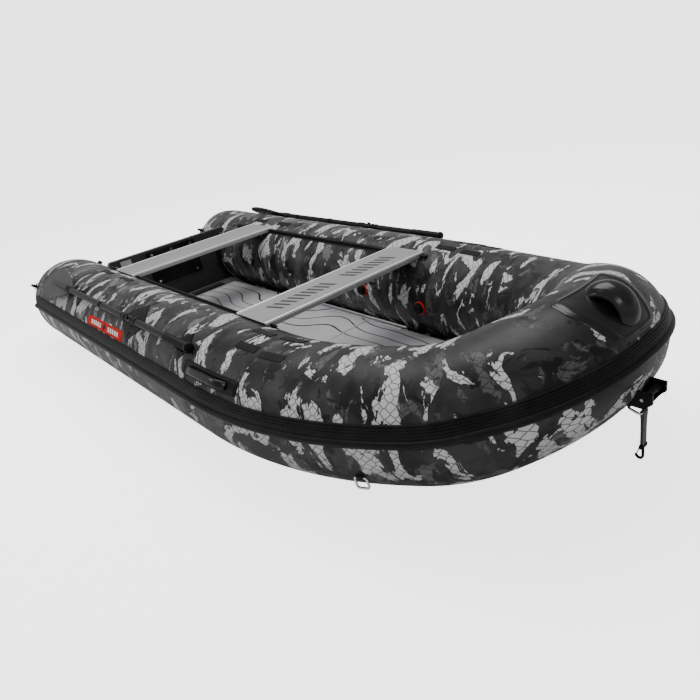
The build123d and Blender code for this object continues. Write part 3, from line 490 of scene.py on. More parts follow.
# %% Sweeping and finishing pieces
def sweep(stations, row, fill_ends=False):
    """Extrudes a row of points; row(station) gives (point, distance round) pairs."""
    shape = bmesh.new()
    place = shape.verts.layers.int.new("place")
    along = shape.verts.layers.float.new("along")
    around = shape.verts.layers.float.new("around")
    edges = []
    for index, station in enumerate(stations):
        points = row(station)
        if index == 0:
            verts = [shape.verts.new(point) for point, distance in points]
            for number, vert in enumerate(verts):
                vert[place] = number
            edges = [shape.edges.new(pair) for pair in zip(verts, verts[1:])]
        else:
            grown = bmesh.ops.extrude_edge_only(shape, edges=edges)["geom"]
            edges = [item for item in grown if isinstance(item, bmesh.types.BMEdge)]
            verts = [item for item in grown if isinstance(item, bmesh.types.BMVert)]
        for vert in verts:
            point, distance = points[vert[place]]
            vert.co = point
            vert[along] = station.along
            vert[around] = distance
    uv = shape.loops.layers.uv.new("UVMap")
    for face in shape.faces:
        for loop in face.loops:
            loop[uv].uv = (loop.vert[along], loop.vert[around])
    bmesh.ops.remove_doubles(shape, verts=shape.verts, dist=0.00002)
    bmesh.ops.dissolve_degenerate(shape, edges=shape.edges, dist=0.00001)
    if fill_ends:
        rim = [edge for edge in shape.edges if edge.is_boundary]
        bmesh.ops.holes_fill(shape, edges=rim, sides=0)
    return shape


def settle(name, shape, finish, body="hull", replaces=(), slot=None, sharp=40.0, turn_out=True):
    """Makes an object of a finished shape and lets it ride on a body."""
    if turn_out:
        bmesh.ops.recalc_face_normals(shape, faces=shape.faces)
    mesh = bpy.data.meshes.new(name)
    shape.to_mesh(mesh)
    shape.free()
    mesh.shade_smooth()
    mesh.set_sharp_from_angle(angle=math.radians(sharp))
    mesh.materials.append(finish)
    piece = put_in_scene(name, mesh)
    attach(piece, body)
    if replaces:
        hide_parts(*replaces)
    print(name, len(mesh.polygons), "faces")
    return piece


# %% [markdown]
# The three air chambers are round tubes. A coated tube is never quite plain: the cloth was cut flat and glued
# into a pipe, so a lapped seam runs along the inboard side, standing up by the thickness of the tape.


# %% Air chambers
around_count = 97
seam_at = 156.0


def tube_row(station):
    rows = []
    for angle in spread(-90, 270, around_count):
        seam = max(0.0, 1 - abs(angle - seam_at) / 5.0)
        rows.append((station.skin(angle, 0.0012 * min(1.0, seam * 3)), math.radians(angle) * tube_radius))
    return rows


for side, name in SIDES:
    stations = [side_station(x, side) for x in spread(cone_seam, baffle_x - 0.002, 40)]
    settle(name + "_chamber", sweep(stations, tube_row), side_cloth, replaces=[name + "_tube"], slot="tube_fabric")

bow_stations = [bow_station(run) for run in spread(0.0012, 1.9988, 181)]
settle("bow_chamber", sweep(bow_stations, tube_row), tube_cloth,
       replaces=["bow_tube", "chamber_baffles"], slot="tube_fabric")

# %% [markdown]
# Where one chamber's cloth meets the next, a tape is glued over the joint. It is the same cloth, a hand wide
# and under a millimetre proud, so it is a short sweep with thin edges.


# %% Joint tapes
tape_steps = (-0.0221, -0.022, -0.010, 0.010, 0.022, 0.0221)
tape_lifts = (-0.001, 0.0011, 0.0011, 0.0011, 0.0011, -0.001)


def tape_row(station):
    return [(station.skin(a, station.lift), math.radians(a) * tube_radius) for a in spread(-90, 270, around_count)]


for side, name in SIDES:
    for label, x, cloth in (("baffle", baffle_x, tube_cloth), ("cone", cone_seam, cone_cloth)):
        places = [side_station(x + step, side) for step in tape_steps]
        for place, lift in zip(places, tape_lifts):
            place.lift = lift
        settle(f"{name}_{label}_tape", sweep(places, tape_row), cloth)

# %% [markdown]
# Each tube ends in a blunt cone. Its profile is a superellipse, nearly cylindrical at the seam and flat at
# the tip, turned round the tube's axis by the same sweep.

# %% Stern cones
stern_end = cad_bounds[0][0]


def cone_station(share, side):
    x = cone_seam + (stern_end - cone_seam) * share
    return side_station(x, side, tube_radius * (1 - share ** 3) ** 0.307)


for side, name in SIDES:
    shares = [math.sin(v) for v in spread(0, math.pi / 2, 28)]
    stations = [cone_station(min(share, 0.99995), side) for share in shares[:-1]] + [cone_station(1.0, side)]
    stations[-1].radius = 0.0
    stations[-1].along = stern_end
    settle(name + "_stern_cone", sweep(stations, tube_row), cone_cloth, replaces=[name + "_cone"], slot="cone_fabric")

# %% [markdown]
# The rub strake is one rubber extrusion, glued on and bent round the whole boat. Its section has fine ribs on
# the flat and a fat rounded bead along the lower edge, which takes the knocks.

# %% Rub strake
strake_profile = [
    (25.4, -0.002), (25.3, 0.0035), (24.8, 0.0068), (23.9, 0.0072), (23.5, 0.0050), (23.0, 0.0050),
]
for low_edge in (21.2, 18.9, 16.6):
    for step, height in ((1.5, 0.0074), (0.3, 0.0074), (0, 0.0054), (-0.5, 0.0054)):
        strake_profile.append((low_edge + step, height))
strake_profile += [(15.6, 0.0070), (13.6, 0.0072)]
for turn in spread(0.0, math.pi, 9):
    strake_profile.append((10.2 + 3.0 * math.cos(turn), 0.0070 + 0.0100 * math.sin(turn)))
strake_profile += [(6.4, 0.0058), (5.8, 0.0035), (5.7, -0.002), (25.4, -0.002)]


def strake_row(station):
    return [(station.skin(a, h), math.radians(a) * station.radius) for a, h in strake_profile]


strake_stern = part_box("starboard_strake")[0].x
strake_stations = [side_station(x) for x in spread(strake_stern, baffle_x, 24)]
strake_stations += [bow_station(run) for run in spread(0.01, 1.99, 161)]
strake_stations += [side_station(x, 1) for x in spread(baffle_x, strake_stern, 24)]
settle("rub_strake", sweep(strake_stations, strake_row, fill_ends=True), rubber,
       replaces=["starboard_strake", "port_strake"], slot="black_rubber", sharp=30)

# %% [markdown]
# The bottom is one sheet of cloth. It is glued up the outboard side of the tubes, drawn tight under them and
# pushed into a shallow V by the keel tube. Its edge shows as a thin line low on the tubes. The widest girth of
# the finished cloth is worked out as the cut's width. Its length isn't measured.

# %% Hull bottom
bottom_edge = -13.0
chine_angle = -124.0
keel_depth = 0.027


def bottom_half(station, mirror):
    flip = Vector((1, mirror, 1))
    wrap = []
    for angle in spread(bottom_edge, chine_angle, 30):
        sunk = 0.0012 - 0.0009 * math.exp(-((angle + 90) / 25) ** 2)
        if angle == bottom_edge:
            sunk = -0.0005
        wrap.append((station.skin(angle, sunk) * flip, math.radians(angle) * tube_radius))
    edge = wrap[-1][0]
    span = abs(edge.y)
    keel = Vector((edge.x, 0, edge.z - keel_depth * min(1.0, span / 0.38)))
    inner = [(edge.lerp(keel, t), wrap[-1][1] - span * t) for t in spread(0.12, 1.0, 8)]
    return wrap + inner


def bottom_row(station):
    starboard = bottom_half(station, 1)
    port = bottom_half(station, -1)
    total = starboard[-1][1]
    mirrored = [(point, 2 * total - distance) for point, distance in reversed(port[:-1])]
    return starboard + mirrored


bottom_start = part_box("hull_bottom")[0].x
bottom_stations = [side_station(x) for x in spread(bottom_start, baffle_x, 30)]
bottom_stations += [bow_station(run) for run in spread(0.01, 1.0, 90)]
hull_cloth = settle("bottom_cloth", sweep(bottom_stations, bottom_row), bottom_cloth, replaces=["hull_bottom"],
                    slot="tube_fabric")
bottom_rows = [bottom_row(station) for station in bottom_stations]
cut_width = max(sum((a[0] - b[0]).length for a, b in zip(row, row[1:])) for row in bottom_rows)

# %% [markdown]
# The keel tube is a long flat air chamber under the floor boards. A flattened sweep with rounded ends is
# enough, because only its effect on the hull bottom is ever seen.

# %% Keel tube
keel_low, keel_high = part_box("keel_tube")
keel_centre = (keel_low + keel_high) / 2


def keel_row(station):
    half_width = (keel_high.y - keel_low.y) / 2 * station.radius
    half_height = (keel_high.z - keel_low.z) / 2 * station.radius
    points = []
    for angle in spread(0, 2 * math.pi, 41):
        offset = Vector((0, half_width * math.cos(angle), half_height * math.sin(angle)))
        points.append((station.centre + offset, angle * half_width))
    return points


keel_stations = []
for share in spread(-1, 1, 61):
    x = keel_centre.x + share * (keel_high.x - keel_low.x) / 2
    size = (1 - abs(share) ** 24) ** 0.5
    keel_stations.append(Station(Vector((x, 0, keel_centre.z)), PORTWARD, UP, size, x))
settle("keel_chamber", sweep(keel_stations, keel_row), bottom_cloth, replaces=["keel_tube"], slot="tube_fabric")

# %% [markdown]
# Patches are cut from cloth with rounded corners and glued on, so each is a thin shell on the tube. The same
# helper makes the badge, the strap patches and the handle's base: a sweep whose rows get shorter near the
# ends, which rounds the corners, and whose height falls to nothing round the rim.


# %% Patches on a tube
def rounded_patch(stations, arc, corner, height, steps=14, rim=0.0, rim_inset=0.012):
    """A patch between the first and last station and between two angles."""
    start, end = stations[0].along, stations[-1].along

    def row(station):
        margin = min(station.along - start, end - station.along)
        missing = max(0.0, corner - margin)
        pull = corner - math.sqrt(max(0.0, corner ** 2 - missing ** 2))
        pull = math.degrees(pull / station.radius)
        points = []
        for share in spread(0, 1, steps):
            angle = arc[0] + pull + (arc[1] - arc[0] - 2 * pull) * share
            edge = math.radians(min(angle - arc[0] - pull, arc[1] - pull - angle)) * station.radius
            inset = max(0.0, min(edge, margin))
            lift = height * min(1.0, inset / 0.0015) - (0.0008 if inset < 1e-5 else 0)
            lift += rim * math.exp(-((inset - rim_inset) / 0.0035) ** 2)
            points.append((station.skin(angle, lift), math.radians(angle) * station.radius))
        return points

    return sweep(stations, row)


def fine_ends(first, last, count, corner):
    """Places along a patch, closer together in its rounded ends."""
    ends = [corner * (1 - math.cos(v)) for v in spread(0, math.pi / 2, 8)]
    middle = spread(first + corner, last - corner, count)
    return [first + v for v in ends[:-1]] + middle + [last - v for v in ends[-2::-1]]


# %% [markdown]
# The badge on each side is printed cloth: a red ground, and on it a plain row of slanted pale strokes with a
# dark diamond in the middle. The strokes are a repeating ramp along the badge, cut to a band across it.

# %% Side badges
badge_low, badge_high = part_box("side_badges")
badge_finish = Finish("printed_badge")
badge_space = badge_finish.place_on("UV")
badge_along, badge_round = badge_space.axis(0), badge_space.axis(1)
badge_middle = (badge_low.x + badge_high.x) / 2
badge_mid_round = math.radians(31.8) * tube_radius
from_middle = (badge_along - badge_middle).size()
from_line = (badge_round - badge_mid_round).size()
slant = badge_along + badge_round * 0.45
stroke = slant.math("PINGPONG", slant, 0.0135)
strokes = (stroke > 0.0052) * (from_line < 0.0105) * (from_middle > 0.040) * (from_middle < 0.175)
diamond = (from_middle + from_line * 1.1) < 0.021
badge_finish.fix("Specular IOR Level", 0.05)
red = badge_finish.noise(badge_space, 14.0, 3).mix((0.44, 0.003, 0.002, 1), (0.54, 0.006, 0.004, 1))
printed = strokes.mix(red, (0.75, 0.74, 0.73, 1))
badge_finish.link("Base Color", diamond.mix(printed, grey(0.015)))
badge_finish.link("Roughness", badge_finish.noise(badge_space, 30.0, 3) * 0.2 + 0.32)
for side, name in SIDES:
    places = [side_station(x, side) for x in fine_ends(badge_low.x, badge_high.x, 20, 0.013)]
    settle(name + "_badge", rounded_patch(places, (25.8, 37.8), 0.013, 0.0015), badge_finish.material,
           replaces=["side_badges"], slot="badge")

# %% [markdown]
# Short strips of black cloth hold down a bow bag or a fishing rod. Each is a small rounded patch.

# %% Strap patches
strap_length = 0.128
strap_arc = 9
strap_corner = 0.006
side_straps = [(-1.144, 98), (-0.874, 98)]
bow_straps = [(0.578, 71), (0.734, 68), (0.544, 96), (0.720, 97)]
for side, name in SIDES:
    rows = []
    for x, low in side_straps:
        rows.append(([side_station(v, side) for v in fine_ends(x, x + strap_length, 8, strap_corner)], low))
    for x, low in bow_straps:
        middle = run_of(x - baffle_x)
        half = strap_length / bow_length
        rows.append((bow_places(fine_ends(middle - half, middle + half, 8, run_of(strap_corner)), side), low))
    for number, (places, low) in enumerate(rows, 1):
        patch = rounded_patch(places, (low, low + strap_arc), strap_corner, 0.0026)
        settle(f"{name}_strap_patch_{number}", patch, patch_rubber, replaces=["strap_patches"], slot="black_patch")

# %% [markdown]
# Each D-ring hangs in a tab of black webbing, which is glued down under a round cloth patch. The tab is a small
# high patch over the ring's bar, and the cloth one below it is wide and flat.

# %% Ring patches
ring_places = (("starboard_ring", 0.53, -24.0), ("port_ring", 1.47, -24.0), ("bow_ring", 1.0, -42.0))
for label, run, angle in ring_places:
    def ring_patch(half_length, half_round, end_share, corner, height, steps):
        around = run_of(half_length)
        places = [bow_station(v) for v in fine_ends(run - around, run + around, 6, around * end_share)]
        turn = math.degrees(half_round / places[0].radius)
        return rounded_patch(places, (angle - turn, angle + turn), corner, height, steps=steps)

    cloth = patch_rubber if label == "bow_ring" else tube_cloth
    settle(label + "_cloth_patch", ring_patch(0.046, 0.046, 0.92, 0.042, 0.0022, 20), cloth,
           replaces=["ring_patches"], slot="black_patch")
    settle(label + "_tab", ring_patch(0.013, 0.011, 0.3, 0.003, 0.0132, 12), patch_rubber, slot="black_patch")

# %% [markdown]
# A bench is an aluminium extrusion: a flat top with a rounded lip along each long edge and two flanges
# below. Its section is swept across the boat, and the flanges are trimmed where the bench nears the tubes.

# %% Benches
bench_low, bench_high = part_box("front_bench")
bench_half_width = (bench_high.x - bench_low.x) / 2
bench_top = bench_high.z


def bench_row(station):
    middle, top, half = station.centre.x, bench_top, bench_half_width
    clear = tube_offset - abs(station.centre.y)
    tube_top = tube_radius + math.sqrt(max(0.0, tube_radius ** 2 - clear ** 2)) + 0.0015
    low = min(max(bench_low.z, tube_top), top - 0.006)
    edge = [(0, low), (0, top - 0.0045), (0.0012, top - 0.0012), (0.0040, top), (0.0085, top - 0.0004),
            (0.0100, top - 0.0016), (0.0120, top - 0.0020)]
    inside = [(0.0030, low), (0.0030, top - 0.0050)]
    outline = [(-half + x, z) for x, z in edge] + [(0.0, top - 0.0020)] + [(half - x, z) for x, z in reversed(edge)]
    outline += [(half - x, z) for x, z in inside] + [(-half + x, z) for x, z in reversed(inside)] + [(-half, low)]
    y = station.centre.y
    return [(Vector((middle + across, y, z)), across) for across, z in outline]


bench_finish = Finish("marked_bench", metallic=0.45)
bench_space = bench_finish.place_on("UV")
cloud = bench_finish.noise(bench_space, 6.0, 3)
fine_lines = bench_finish.noise(bench_finish.place_on("UV", scale=(0.02, 1, 1)), 260.0, 2)
bench_finish.link("Base Color", cloud.mix(grey(0.28), grey(0.34)))
bench_finish.link("Roughness", fine_lines * 0.15 + 0.33)
bench_finish.bump(fine_lines, 0.0004, 0.15)

grip_finish = Finish("grip_marks")
grip_space = grip_finish.place_on("Object")
grip_finish.link("Base Color", grip_finish.noise(grip_space, 30.0, 3).mix(grey(0.02), grey(0.05)))
grip_finish.link("Roughness", grip_finish.noise(grip_space, 80.0, 2) * 0.2 + 0.6)
grip_finish.bump(grip_finish.noise(grip_space, 600.0, 1), 0.0006, 0.6)

for name in ("front_bench", "rear_bench"):
    low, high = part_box(name)
    middle = (low.x + high.x) / 2
    bench_stations = []
    for y in spread(low.y, high.y, 61):
        bench_stations.append(Station(Vector((middle, y, 0)), AHEAD, UP, 0, y))
    settle(name + "_plank", sweep(bench_stations, bench_row, fill_ends=True), bench_finish.material, body=name,
           replaces=[name], slot="bench_metal", sharp=30)

# %% [markdown]
# A near-white strip along each long edge is a painted highlight: light on the rounded lips, put into the base
# colour. The front bench also carries a row of slanted anti-slip bars, each a thin cut of gritty tape.


# %% Painted lip highlights and anti-slip bars
def slab(corner, size, bevel):
    """A box with rounded edges."""
    shape = bmesh.new()
    bmesh.ops.create_cube(shape, size=1)
    bmesh.ops.scale(shape, verts=shape.verts, vec=size)
    bmesh.ops.translate(shape, verts=shape.verts, vec=Vector(corner) + Vector(size) / 2)
    if bevel:
        bmesh.ops.bevel(shape, geom=shape.edges[:], offset=bevel, segments=2, profile=0.5, affect="EDGES", material=-1)
    return shape


for name in ("front_bench", "rear_bench"):
    low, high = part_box(name)
    for label, x in (("aft", low.x - 0.0004), ("fore", high.x - 0.0076)):
        # Each slab is a painted highlight laid over the lip's rounded edge.
        lip = slab((x, low.y, high.z - 0.0104), (0.008, high.y - low.y, 0.0110), 0.0022)
        settle(f"{name}_{label}_lip", lip, lip_highlight_metal, body=name, slot="bench_metal")

bar_count = 17
bench_middle = (bench_low.x + bench_high.x) / 2
for number in range(bar_count):
    y = -0.335 + 0.0345 * number + (0.085 if number > 8 else 0)
    bar = slab((bench_middle - 0.040, y, bench_top - 0.0024), (0.080, 0.0165, 0.0009), 0)
    for vert in bar.verts:
        vert.co.y += (vert.co.x - bench_middle) * 0.35
    settle(f"anti_slip_bar_{number + 1}", bar, grip_finish.material, body="front_bench", slot="bench_metal")

# %% [markdown]
# Turned shapes come from a profile spun about an axis. `turned` takes distances along the axis with a radius
# for each, lays the profile down as a chain of edges and spins it.


# %% Turning helper
def turned(profile, start, axis, steps=32):
    """Spins (distance, radius) pairs about an axis that starts at a point."""
    axis = Vector(axis).normalized()
    aside = axis.orthogonal().normalized()
    shape = bmesh.new()
    chain = [shape.verts.new(Vector(start) + axis * d + aside * r) for d, r in profile]
    edges = [shape.edges.new(pair) for pair in zip(chain, chain[1:])]
    bmesh.ops.spin(shape, geom=chain + edges, cent=start, axis=axis, angle=math.tau, steps=steps, use_merge=True)
    bmesh.ops.remove_doubles(shape, verts=shape.verts, dist=0.00002)
    return shape


# %% [markdown]
# Each oar lies on its tube, turned about its lock pin. `oar_point` finds a point beside the shaft: `across`
# runs towards the top of the tube and `lift` away from it.

# %% Oar directions and fittings
oar_angle = math.radians(52.7)
lock_x = -0.262
oar_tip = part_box("starboard_oar_blade")[0].x
oar_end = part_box("starboard_oar_grip")[1].x
oar_distance = tube_radius + 0.0216


def oar_point(x, across, lift, side):
    normal = Vector((0, side * math.cos(oar_angle), math.sin(oar_angle)))
    upward = Vector((0, -side * math.sin(oar_angle), math.cos(oar_angle)))
    centre = Vector((x, side * tube_offset, tube_radius))
    return centre + normal * (oar_distance + lift) + upward * across


def fit_on_oar(side, label, profile, x, finish=nylon, lift=0.0, slot="black_plastic", **more):
    """Turns a fitting about the line of the shaft, starting at x."""
    name = dict(SIDES)[side]
    fitting = turned(profile, oar_point(x, 0, lift, side), AHEAD)
    settle(f"{name}_{label}", fitting, finish, body=name + "_oar", slot=slot, **more)


# %% [markdown]
# Two stiffening ribs stand on each oarlock's base, above and below the pin. Each is a low three-sided wedge
# laid on the tube, low enough for the turning oar to pass over it.


# %% Oarlock ribs
def lock_rib(side, direction):
    shape = bmesh.new()
    foot = [(-0.034, 0.046), (0.034, 0.046), (0.0, 0.094)]
    top = [(-0.013, 0.055), (0.013, 0.055), (0.0, 0.072)]

    def place(x, across, lift):
        drop = math.sqrt(tube_radius ** 2 - across ** 2) - oar_distance
        return oar_point(lock_x + x, across * direction, drop + lift, side)

    low = [shape.verts.new(place(x, across, 0.0)) for x, across in foot]
    high = [shape.verts.new(place(x, across, 0.0062)) for x, across in top]
    shape.faces.new(high)
    for number in range(3):
        follow = (number + 1) % 3
        shape.faces.new((low[number], low[follow], high[follow], high[number]))
    bmesh.ops.holes_fill(shape, edges=shape.edges)
    bmesh.ops.bevel(shape, geom=shape.edges[:], offset=0.002, segments=2, profile=0.5, affect="EDGES", material=-1)
    return shape


for side, name in SIDES:
    for label, direction in (("upper", 1), ("lower", -1)):
        settle(f"{name}_lock_rib_{label}", lock_rib(side, direction), nylon, slot="black_plastic", sharp=30)

# %% [markdown]
# The blade is moulded in grey plastic: a shallow dish with a rounded tip, stiffened by a rib that grows into
# the socket for the shaft. The dish is a swept loop of points, and the rib is turned.


# %% Oar blades
blade_length = 0.430
blade_half = 0.087


def blade_outline(share):
    """Half the blade's width at a share of its length from the tip."""
    if share < 0.42:
        return blade_half * math.sqrt(max(0.0, 1 - ((0.42 - share) / 0.42) ** 2))
    return blade_half * (0.17 + 0.83 * math.cos(math.pi / 2 * ((share - 0.42) / 0.58)) ** 0.85)


def blade_shape(side):
    def row(station):
        share = min(1.0, max(0.0, (station.centre.x - oar_tip) / blade_length))
        half = max(0.0005, blade_outline(share))
        points = []
        for face in (1, -1):
            for step in spread(-1, 1, 15):
                across = step * face * half
                dish = 0.006 * (across / blade_half) ** 2 - 0.002
                rim = 0.0012 * math.exp(-((half - abs(across)) / 0.004) ** 2)
                thick = 0.0022 + rim
                points.append((oar_point(station.centre.x, across, dish + face * thick, side), across))
        points.append(points[0])
        return points

    xs = [oar_tip + blade_length * (1 - math.cos(v)) for v in spread(0.02, math.pi / 2, 34)]
    stations = [Station(Vector((x, 0, 0)), PORTWARD, UP, 0, x) for x in xs]
    return sweep(stations, row, fill_ends=True)


rib_profile = [(0.0, 0.0), (0.004, 0.0030), (0.10, 0.0080), (0.20, 0.0135), (0.26, 0.0160), (0.285, 0.0170)]
throat_profile = [(0.0, 0.0), (0.0, 0.0160), (0.002, 0.0178), (0.028, 0.0184), (0.030, 0.0172), (0.036, 0.0172),
                  (0.038, 0.0182), (0.044, 0.0178), (0.048, 0.0158), (0.048, 0.0)]
for side, name in SIDES:
    settle(name + "_blade_dish", blade_shape(side), oar_grey, body=name + "_oar",
           replaces=[name + "_oar_blade"], slot="oar_plastic", sharp=50)
    fit_on_oar(side, "blade_rib", rib_profile, oar_tip + 0.110, oar_dark, lift=0.001, slot="oar_plastic")
    fit_on_oar(side, "blade_throat", throat_profile, oar_tip + 0.392)

# %% [markdown]
# The grip is a rubber sleeve with rings for the fingers and a flared end stop. Two collars either side of the
# lock keep the oar from sliding through it, and a clip joins the halves of the shaft.

# %% Oar grips and collars
grip_profile = [(0.0, 0.0), (0.0, 0.0165), (0.004, 0.0178)]
for ring in range(22):
    at = 0.010 + ring * 0.0083
    grip_profile += [(at, 0.0179), (at + 0.0015, 0.0168), (at + 0.0042, 0.0168), (at + 0.0057, 0.0179)]
grip_profile += [(0.194, 0.0182), (0.198, 0.0206), (0.207, 0.0209), (0.210, 0.0190), (0.210, 0.0)]
collar_profile = [(0.0, 0.0150), (0.0, 0.0172), (0.002, 0.0180), (0.008, 0.0180), (0.010, 0.0170),
                  (0.030, 0.0170), (0.032, 0.0180), (0.038, 0.0180), (0.040, 0.0172), (0.040, 0.0150)]
clip_profile = [(0.0, 0.0150), (0.0, 0.0166), (0.002, 0.0172), (0.034, 0.0172), (0.036, 0.0164), (0.036, 0.0150)]
for side, name in SIDES:
    fit_on_oar(side, "grip_sleeve", grip_profile, oar_end - 0.210, replaces=[name + "_oar_grip"], sharp=60)
    fit_on_oar(side, "aft_collar", collar_profile, lock_x - 0.076)
    fit_on_oar(side, "fore_collar", collar_profile, lock_x + 0.036)
    fit_on_oar(side, "shaft_clip", clip_profile, -0.640)

# %% [markdown]
# The carry handles are moulded loops: a thick rounded bar that rises from a base plate, runs along the boat
# and comes down again. The bar is a rounded section swept along an arch.

# %% Side handles
handle_low, handle_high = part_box("starboard_side_handle")
handle_middle_run = run_of((handle_low.x + handle_high.x) / 2 - baffle_x)
handle_angle = 37.0
arch = [(-0.128, 0.002), (-0.122, 0.010), (-0.108, 0.0205), (-0.090, 0.0258), (-0.060, 0.0272), (0.0, 0.0276),
        (0.060, 0.0272), (0.090, 0.0258), (0.108, 0.0205), (0.122, 0.010), (0.128, 0.002)]


def handle_bar(side):
    middle = bow_station(handle_middle_run)
    foot = middle.skin(handle_angle)
    outward = (foot - middle.centre).normalized()
    ahead = middle.upward.cross(middle.outward) * -1
    ahead = Vector((abs(ahead.x), ahead.y if ahead.x > 0 else -ahead.y, ahead.z if ahead.x > 0 else -ahead.z))
    beside = outward.cross(ahead)
    flip = Vector((1, -side, 1))
    stations = []
    for number, (distance, lift) in enumerate(arch):
        before = arch[max(0, number - 1)]
        after = arch[min(len(arch) - 1, number + 1)]
        run = Vector((after[0] - before[0], after[1] - before[1])).normalized()
        normal = outward * run.x - ahead * run.y
        stations.append(Station(foot + ahead * distance + outward * lift, beside, normal, 0, distance))

    def row(station):
        points = []
        for turn in spread(0, math.tau, 25):
            wide = math.copysign(abs(math.cos(turn)) ** 0.7, math.cos(turn)) * 0.0145
            thick = math.copysign(abs(math.sin(turn)) ** 0.7, math.sin(turn)) * 0.0062
            point = station.centre + station.outward * wide + station.upward * thick
            points.append((point * flip, turn * 0.01))
        return points

    return sweep(stations, row, fill_ends=True)


handle_half = run_of(0.180)
handle_arc = (handle_angle - 7.2, handle_angle + 7.2)
for side, name in SIDES:
    runs = fine_ends(handle_middle_run - handle_half, handle_middle_run + handle_half, 16, run_of(0.016))
    base = rounded_patch(bow_places(runs, side), handle_arc, 0.016, 0.0048, steps=18, rim=0.002)
    settle(name + "_handle_base", base, nylon, slot="black_plastic")
    settle(name + "_handle_bar", handle_bar(side), gloss_black, replaces=[name + "_side_handle"],
           slot="black_plastic", sharp=60)

# %% [markdown]
# The bow handle is a glossy dome over a black moulded patch. The patch wraps the tube either side of the
# stem and has a raised bead a finger's width inside its edge.

# %% Bow handle
patch_half = run_of(0.118)
patch_arc = (27.5, 95.0)


def stem_patch_row(station):
    points = []
    for share in spread(0, 1, 64):
        half = patch_half * (0.60 + 0.40 * min(1.0, share * 1.5))
        angle = patch_arc[0] + (patch_arc[1] - patch_arc[0]) * share
        place = bow_station(1 + station.along * half)
        edge = min(share, 1 - share) * math.radians(patch_arc[1] - patch_arc[0]) * bow_radius
        side_edge = (1 - abs(station.along)) * half * bow_length / 2
        corner = 0.030
        inset = min(edge, side_edge)
        if edge < corner and side_edge < corner:
            inset = corner - math.hypot(corner - edge, corner - side_edge)
        lift = 0.0030 * min(1.0, max(-1.0, inset / 0.0015)) + 0.0032 * math.exp(-((inset - 0.018) / 0.004) ** 2)
        points.append((place.skin(angle, lift), math.radians(angle) * bow_radius))
    return points


patch_places = [Station(None, None, None, bow_radius, v) for v in fine_ends(-1, 1, 44, 0.28)]
settle("bow_handle_base", sweep(patch_places, stem_patch_row), gloss_black, replaces=["bow_handle_patch"],
       slot="black_rubber")

nose = Vector((bow_corners[3][0], 0, bow_corners[3][2]))
dome_base = bow_radius + 0.004
dome_arc = (36.0, 86.0)
dome_rise = 0.056


def dome_place(share):
    """A point along the dome's crest, seen from the side, with its outward direction."""
    angle = math.radians(dome_arc[0] + (dome_arc[1] - dome_arc[0]) * share)
    rise = dome_rise * math.sin(math.pi * share) ** 0.72
    outward = Vector((math.cos(angle), 0, math.sin(angle)))
    return nose + outward * (dome_base + rise)


def dome_row(station):
    def shell(share, half_width, raise_by):
        crown = -0.030 * abs(share) ** 2.6
        return station.centre + station.outward * (share * half_width) + station.upward * (crown + raise_by)

    points = []
    for share in spread(-1, 1, 25):
        ridge = 0.0024 * sum(math.exp(-((abs(share) - at) / 0.05) ** 2) for at in (0.72, 0.92))
        points.append((shell(share, 0.045, ridge), share * 0.045))
    for share in spread(1, -1, 25):
        points.append((shell(share, 0.0445, -0.007), share * 0.045))
    points.append(points[0])
    return points


dome_stations = []
for share in spread(0.0, 1.0, 41):
    here = dome_place(share)
    run = (dome_place(min(1.0, share + 0.01)) - dome_place(max(0.0, share - 0.01))).normalized()
    normal = PORTWARD.cross(run)
    if normal.dot(here - nose) < 0:
        normal = -normal
    dome_stations.append(Station(here, PORTWARD, normal, 0, share * 0.2))
settle("bow_handle_dome", sweep(dome_stations, dome_row, fill_ends=True), gloss_black,
       replaces=["bow_handle"], slot="gloss_black", sharp=50)

# %% [markdown]
# The bow strap is a length of webbing folded through the ring and sewn to itself. It is a flat loop swept
# round the ring's bar and down, with a little thickness, and the snap hook hangs from its end.

# %% Bow strap
strap_low, strap_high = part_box("bow_strap")
ring_bar = Vector(((strap_low.x + strap_high.x) / 2, 0, strap_high.z - (strap_high.x - strap_low.x) / 2))
loop_radius = (strap_high.x - strap_low.x) / 2 - 0.0012
strap_stations = []
path = [(0.0034, strap_low.z - ring_bar.z), (0.0034, -0.060), (0.0038, -0.030), (0.0055, -0.012)]
path += [(loop_radius * math.cos(v), loop_radius * math.sin(v)) for v in spread(-0.5, math.pi + 0.5, 13)]
path += [(-0.0055, -0.012), (-0.0038, -0.030), (-0.0034, -0.060), (-0.0034, strap_low.z - ring_bar.z)]
for number, (x, z) in enumerate(path):
    before, after = path[max(0, number - 1)], path[min(len(path) - 1, number + 1)]
    run = Vector((after[0] - before[0], 0, after[1] - before[1])).normalized()
    station = Station(ring_bar + Vector((x, 0, z)), PORTWARD, Vector((run.z, 0, -run.x)), 0, number * 0.01)
    strap_stations.append(station)


def strap_row(station):
    half, thick = 0.0125, 0.0011
    corners = [(-half, -thick), (half, -thick), (half, thick), (-half, thick), (-half, -thick)]
    return [(station.centre + station.outward * a + station.upward * b, a) for a, b in corners]


settle("bow_webbing", sweep(strap_stations, strap_row, fill_ends=True), webbing, body="bow_strap",
       replaces=["bow_strap"], slot="webbing", sharp=40)

# %% [markdown]
# The CAD pieces that already have the right shape stay in view and only get their finishes.

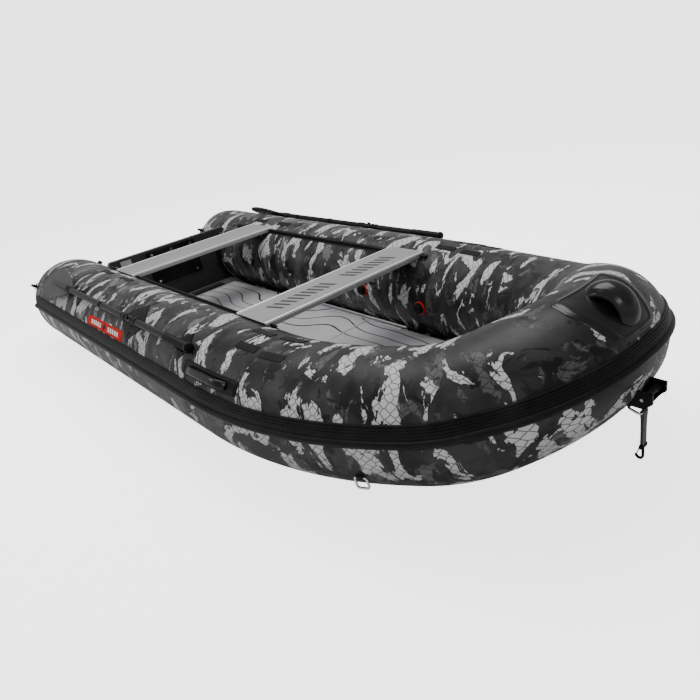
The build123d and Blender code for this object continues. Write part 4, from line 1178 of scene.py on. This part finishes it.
# %% Finishes for the CAD pieces
finish_of = {
    rubber: "keel_guard starboard_seat_rail port_seat_rail transom_flanges drain_plug",
    nylon: "oarlock_bases oarlock_pins oar_keepers bow_chock chock_roller valve_bodies port_valve_cap bow_valve_cap"
    " starboard_valve_cap drain_socket motor_pads snap_hook stern_eyes",
    valve_red: "valve_rings",
    plywood: "transom_board",
    plate_metal: "transom_plate",
    floor_finish.material: "floor_board_1 floor_board_2 floor_board_3 bow_board",
    aft_metal: "aft_board",
    edge_metal: "floor_joiners floor_stringers",
    steel: "starboard_side_ring port_side_ring bow_ring transom_bolts chock_pin hook_gate",
    oar_dark: "starboard_oar_shaft port_oar_shaft",
}
for finish, names in finish_of.items():
    for name in names.split():
        mesh = nodes[name].data
        mesh.materials.clear()
        mesh.materials.append(finish)
print(sum(len(names.split()) for names in finish_of.values()), "CAD pieces finished")

# %% [markdown]
# A studio for a large dark object: a pale floor, one very large soft light overhead and two small ones in front.
# The floor's glow and the white of the surround are for the camera's own rays only. What the boat reflects
# is a much dimmer surround, which keeps its blacks dark.

# %% Studio
floor_shape = bmesh.new()
bmesh.ops.create_grid(floor_shape, x_segments=1, y_segments=1, size=30)
bmesh.ops.translate(floor_shape, verts=floor_shape.verts, vec=(0, 0, -0.004))
floor_mesh = bpy.data.meshes.new("studio_floor")
floor_shape.to_mesh(floor_mesh)
studio_floor = put_in_scene("studio_floor", floor_mesh)
pale_floor = Finish("pale_floor", roughness=0.9)
pale_floor.fix("Base Color", (0.80, 0.80, 0.80, 1))
pale_floor.fix("Emission Strength", 2.6)
seen_straight = pale_floor.start.node("ShaderNodeLightPath", {}, {}, out="Is Camera Ray")
pale_floor.link("Emission Color", seen_straight)
floor_mesh.materials.append(pale_floor.material)


def soft_light(name, place, aim, size, power):
    data = bpy.data.lights.new(name, "AREA")
    data.shape = "RECTANGLE"
    data.size, data.size_y = size
    data.energy = power
    light = put_in_scene(name, data)
    light.location = place
    light.rotation_euler = (Vector(aim) - Vector(place)).to_track_quat("-Z", "Y").to_euler()


soft_light("overhead_light", (-0.6, 0.4, 4.2), (-0.2, 0.0, 0.3), (4.0, 3.0), 210)
soft_light("front_light", (4.2, -3.6, 3.4), (0.4, -0.2, 0.3), (1.2, 1.0), 30)
soft_light("left_light", (-3.2, -3.8, 3.2), (-0.6, -0.5, 0.3), (1.2, 1.0), 30)

world = bpy.data.worlds.new("studio_surround")
bpy.context.scene.world = world
world.use_nodes = True
surround = world.node_tree.nodes["Background"]
surround.inputs["Color"].default_value = (1, 1, 1, 1)
sky = Signal(world.node_tree)
direction = sky.node("ShaderNodeTexCoord", {}, {}, out="Generated")
height = sky.node("ShaderNodeSeparateXYZ", {}, {0: direction}, out="Z")
fade = sky.node(
    "ShaderNodeMapRange", {}, {"Value": height, "From Min": 0.10, "From Max": 0.40, "To Min": 0.8, "To Max": 0.40}
)
seen_straight = sky.node("ShaderNodeLightPath", {}, {}, out="Is Camera Ray")
strength = sky.node("ShaderNodeMix", {}, {"Factor": seen_straight, "A": fade, "B": 3.08}, out="Result")
world.node_tree.links.new(strength.socket, surround.inputs["Strength"])
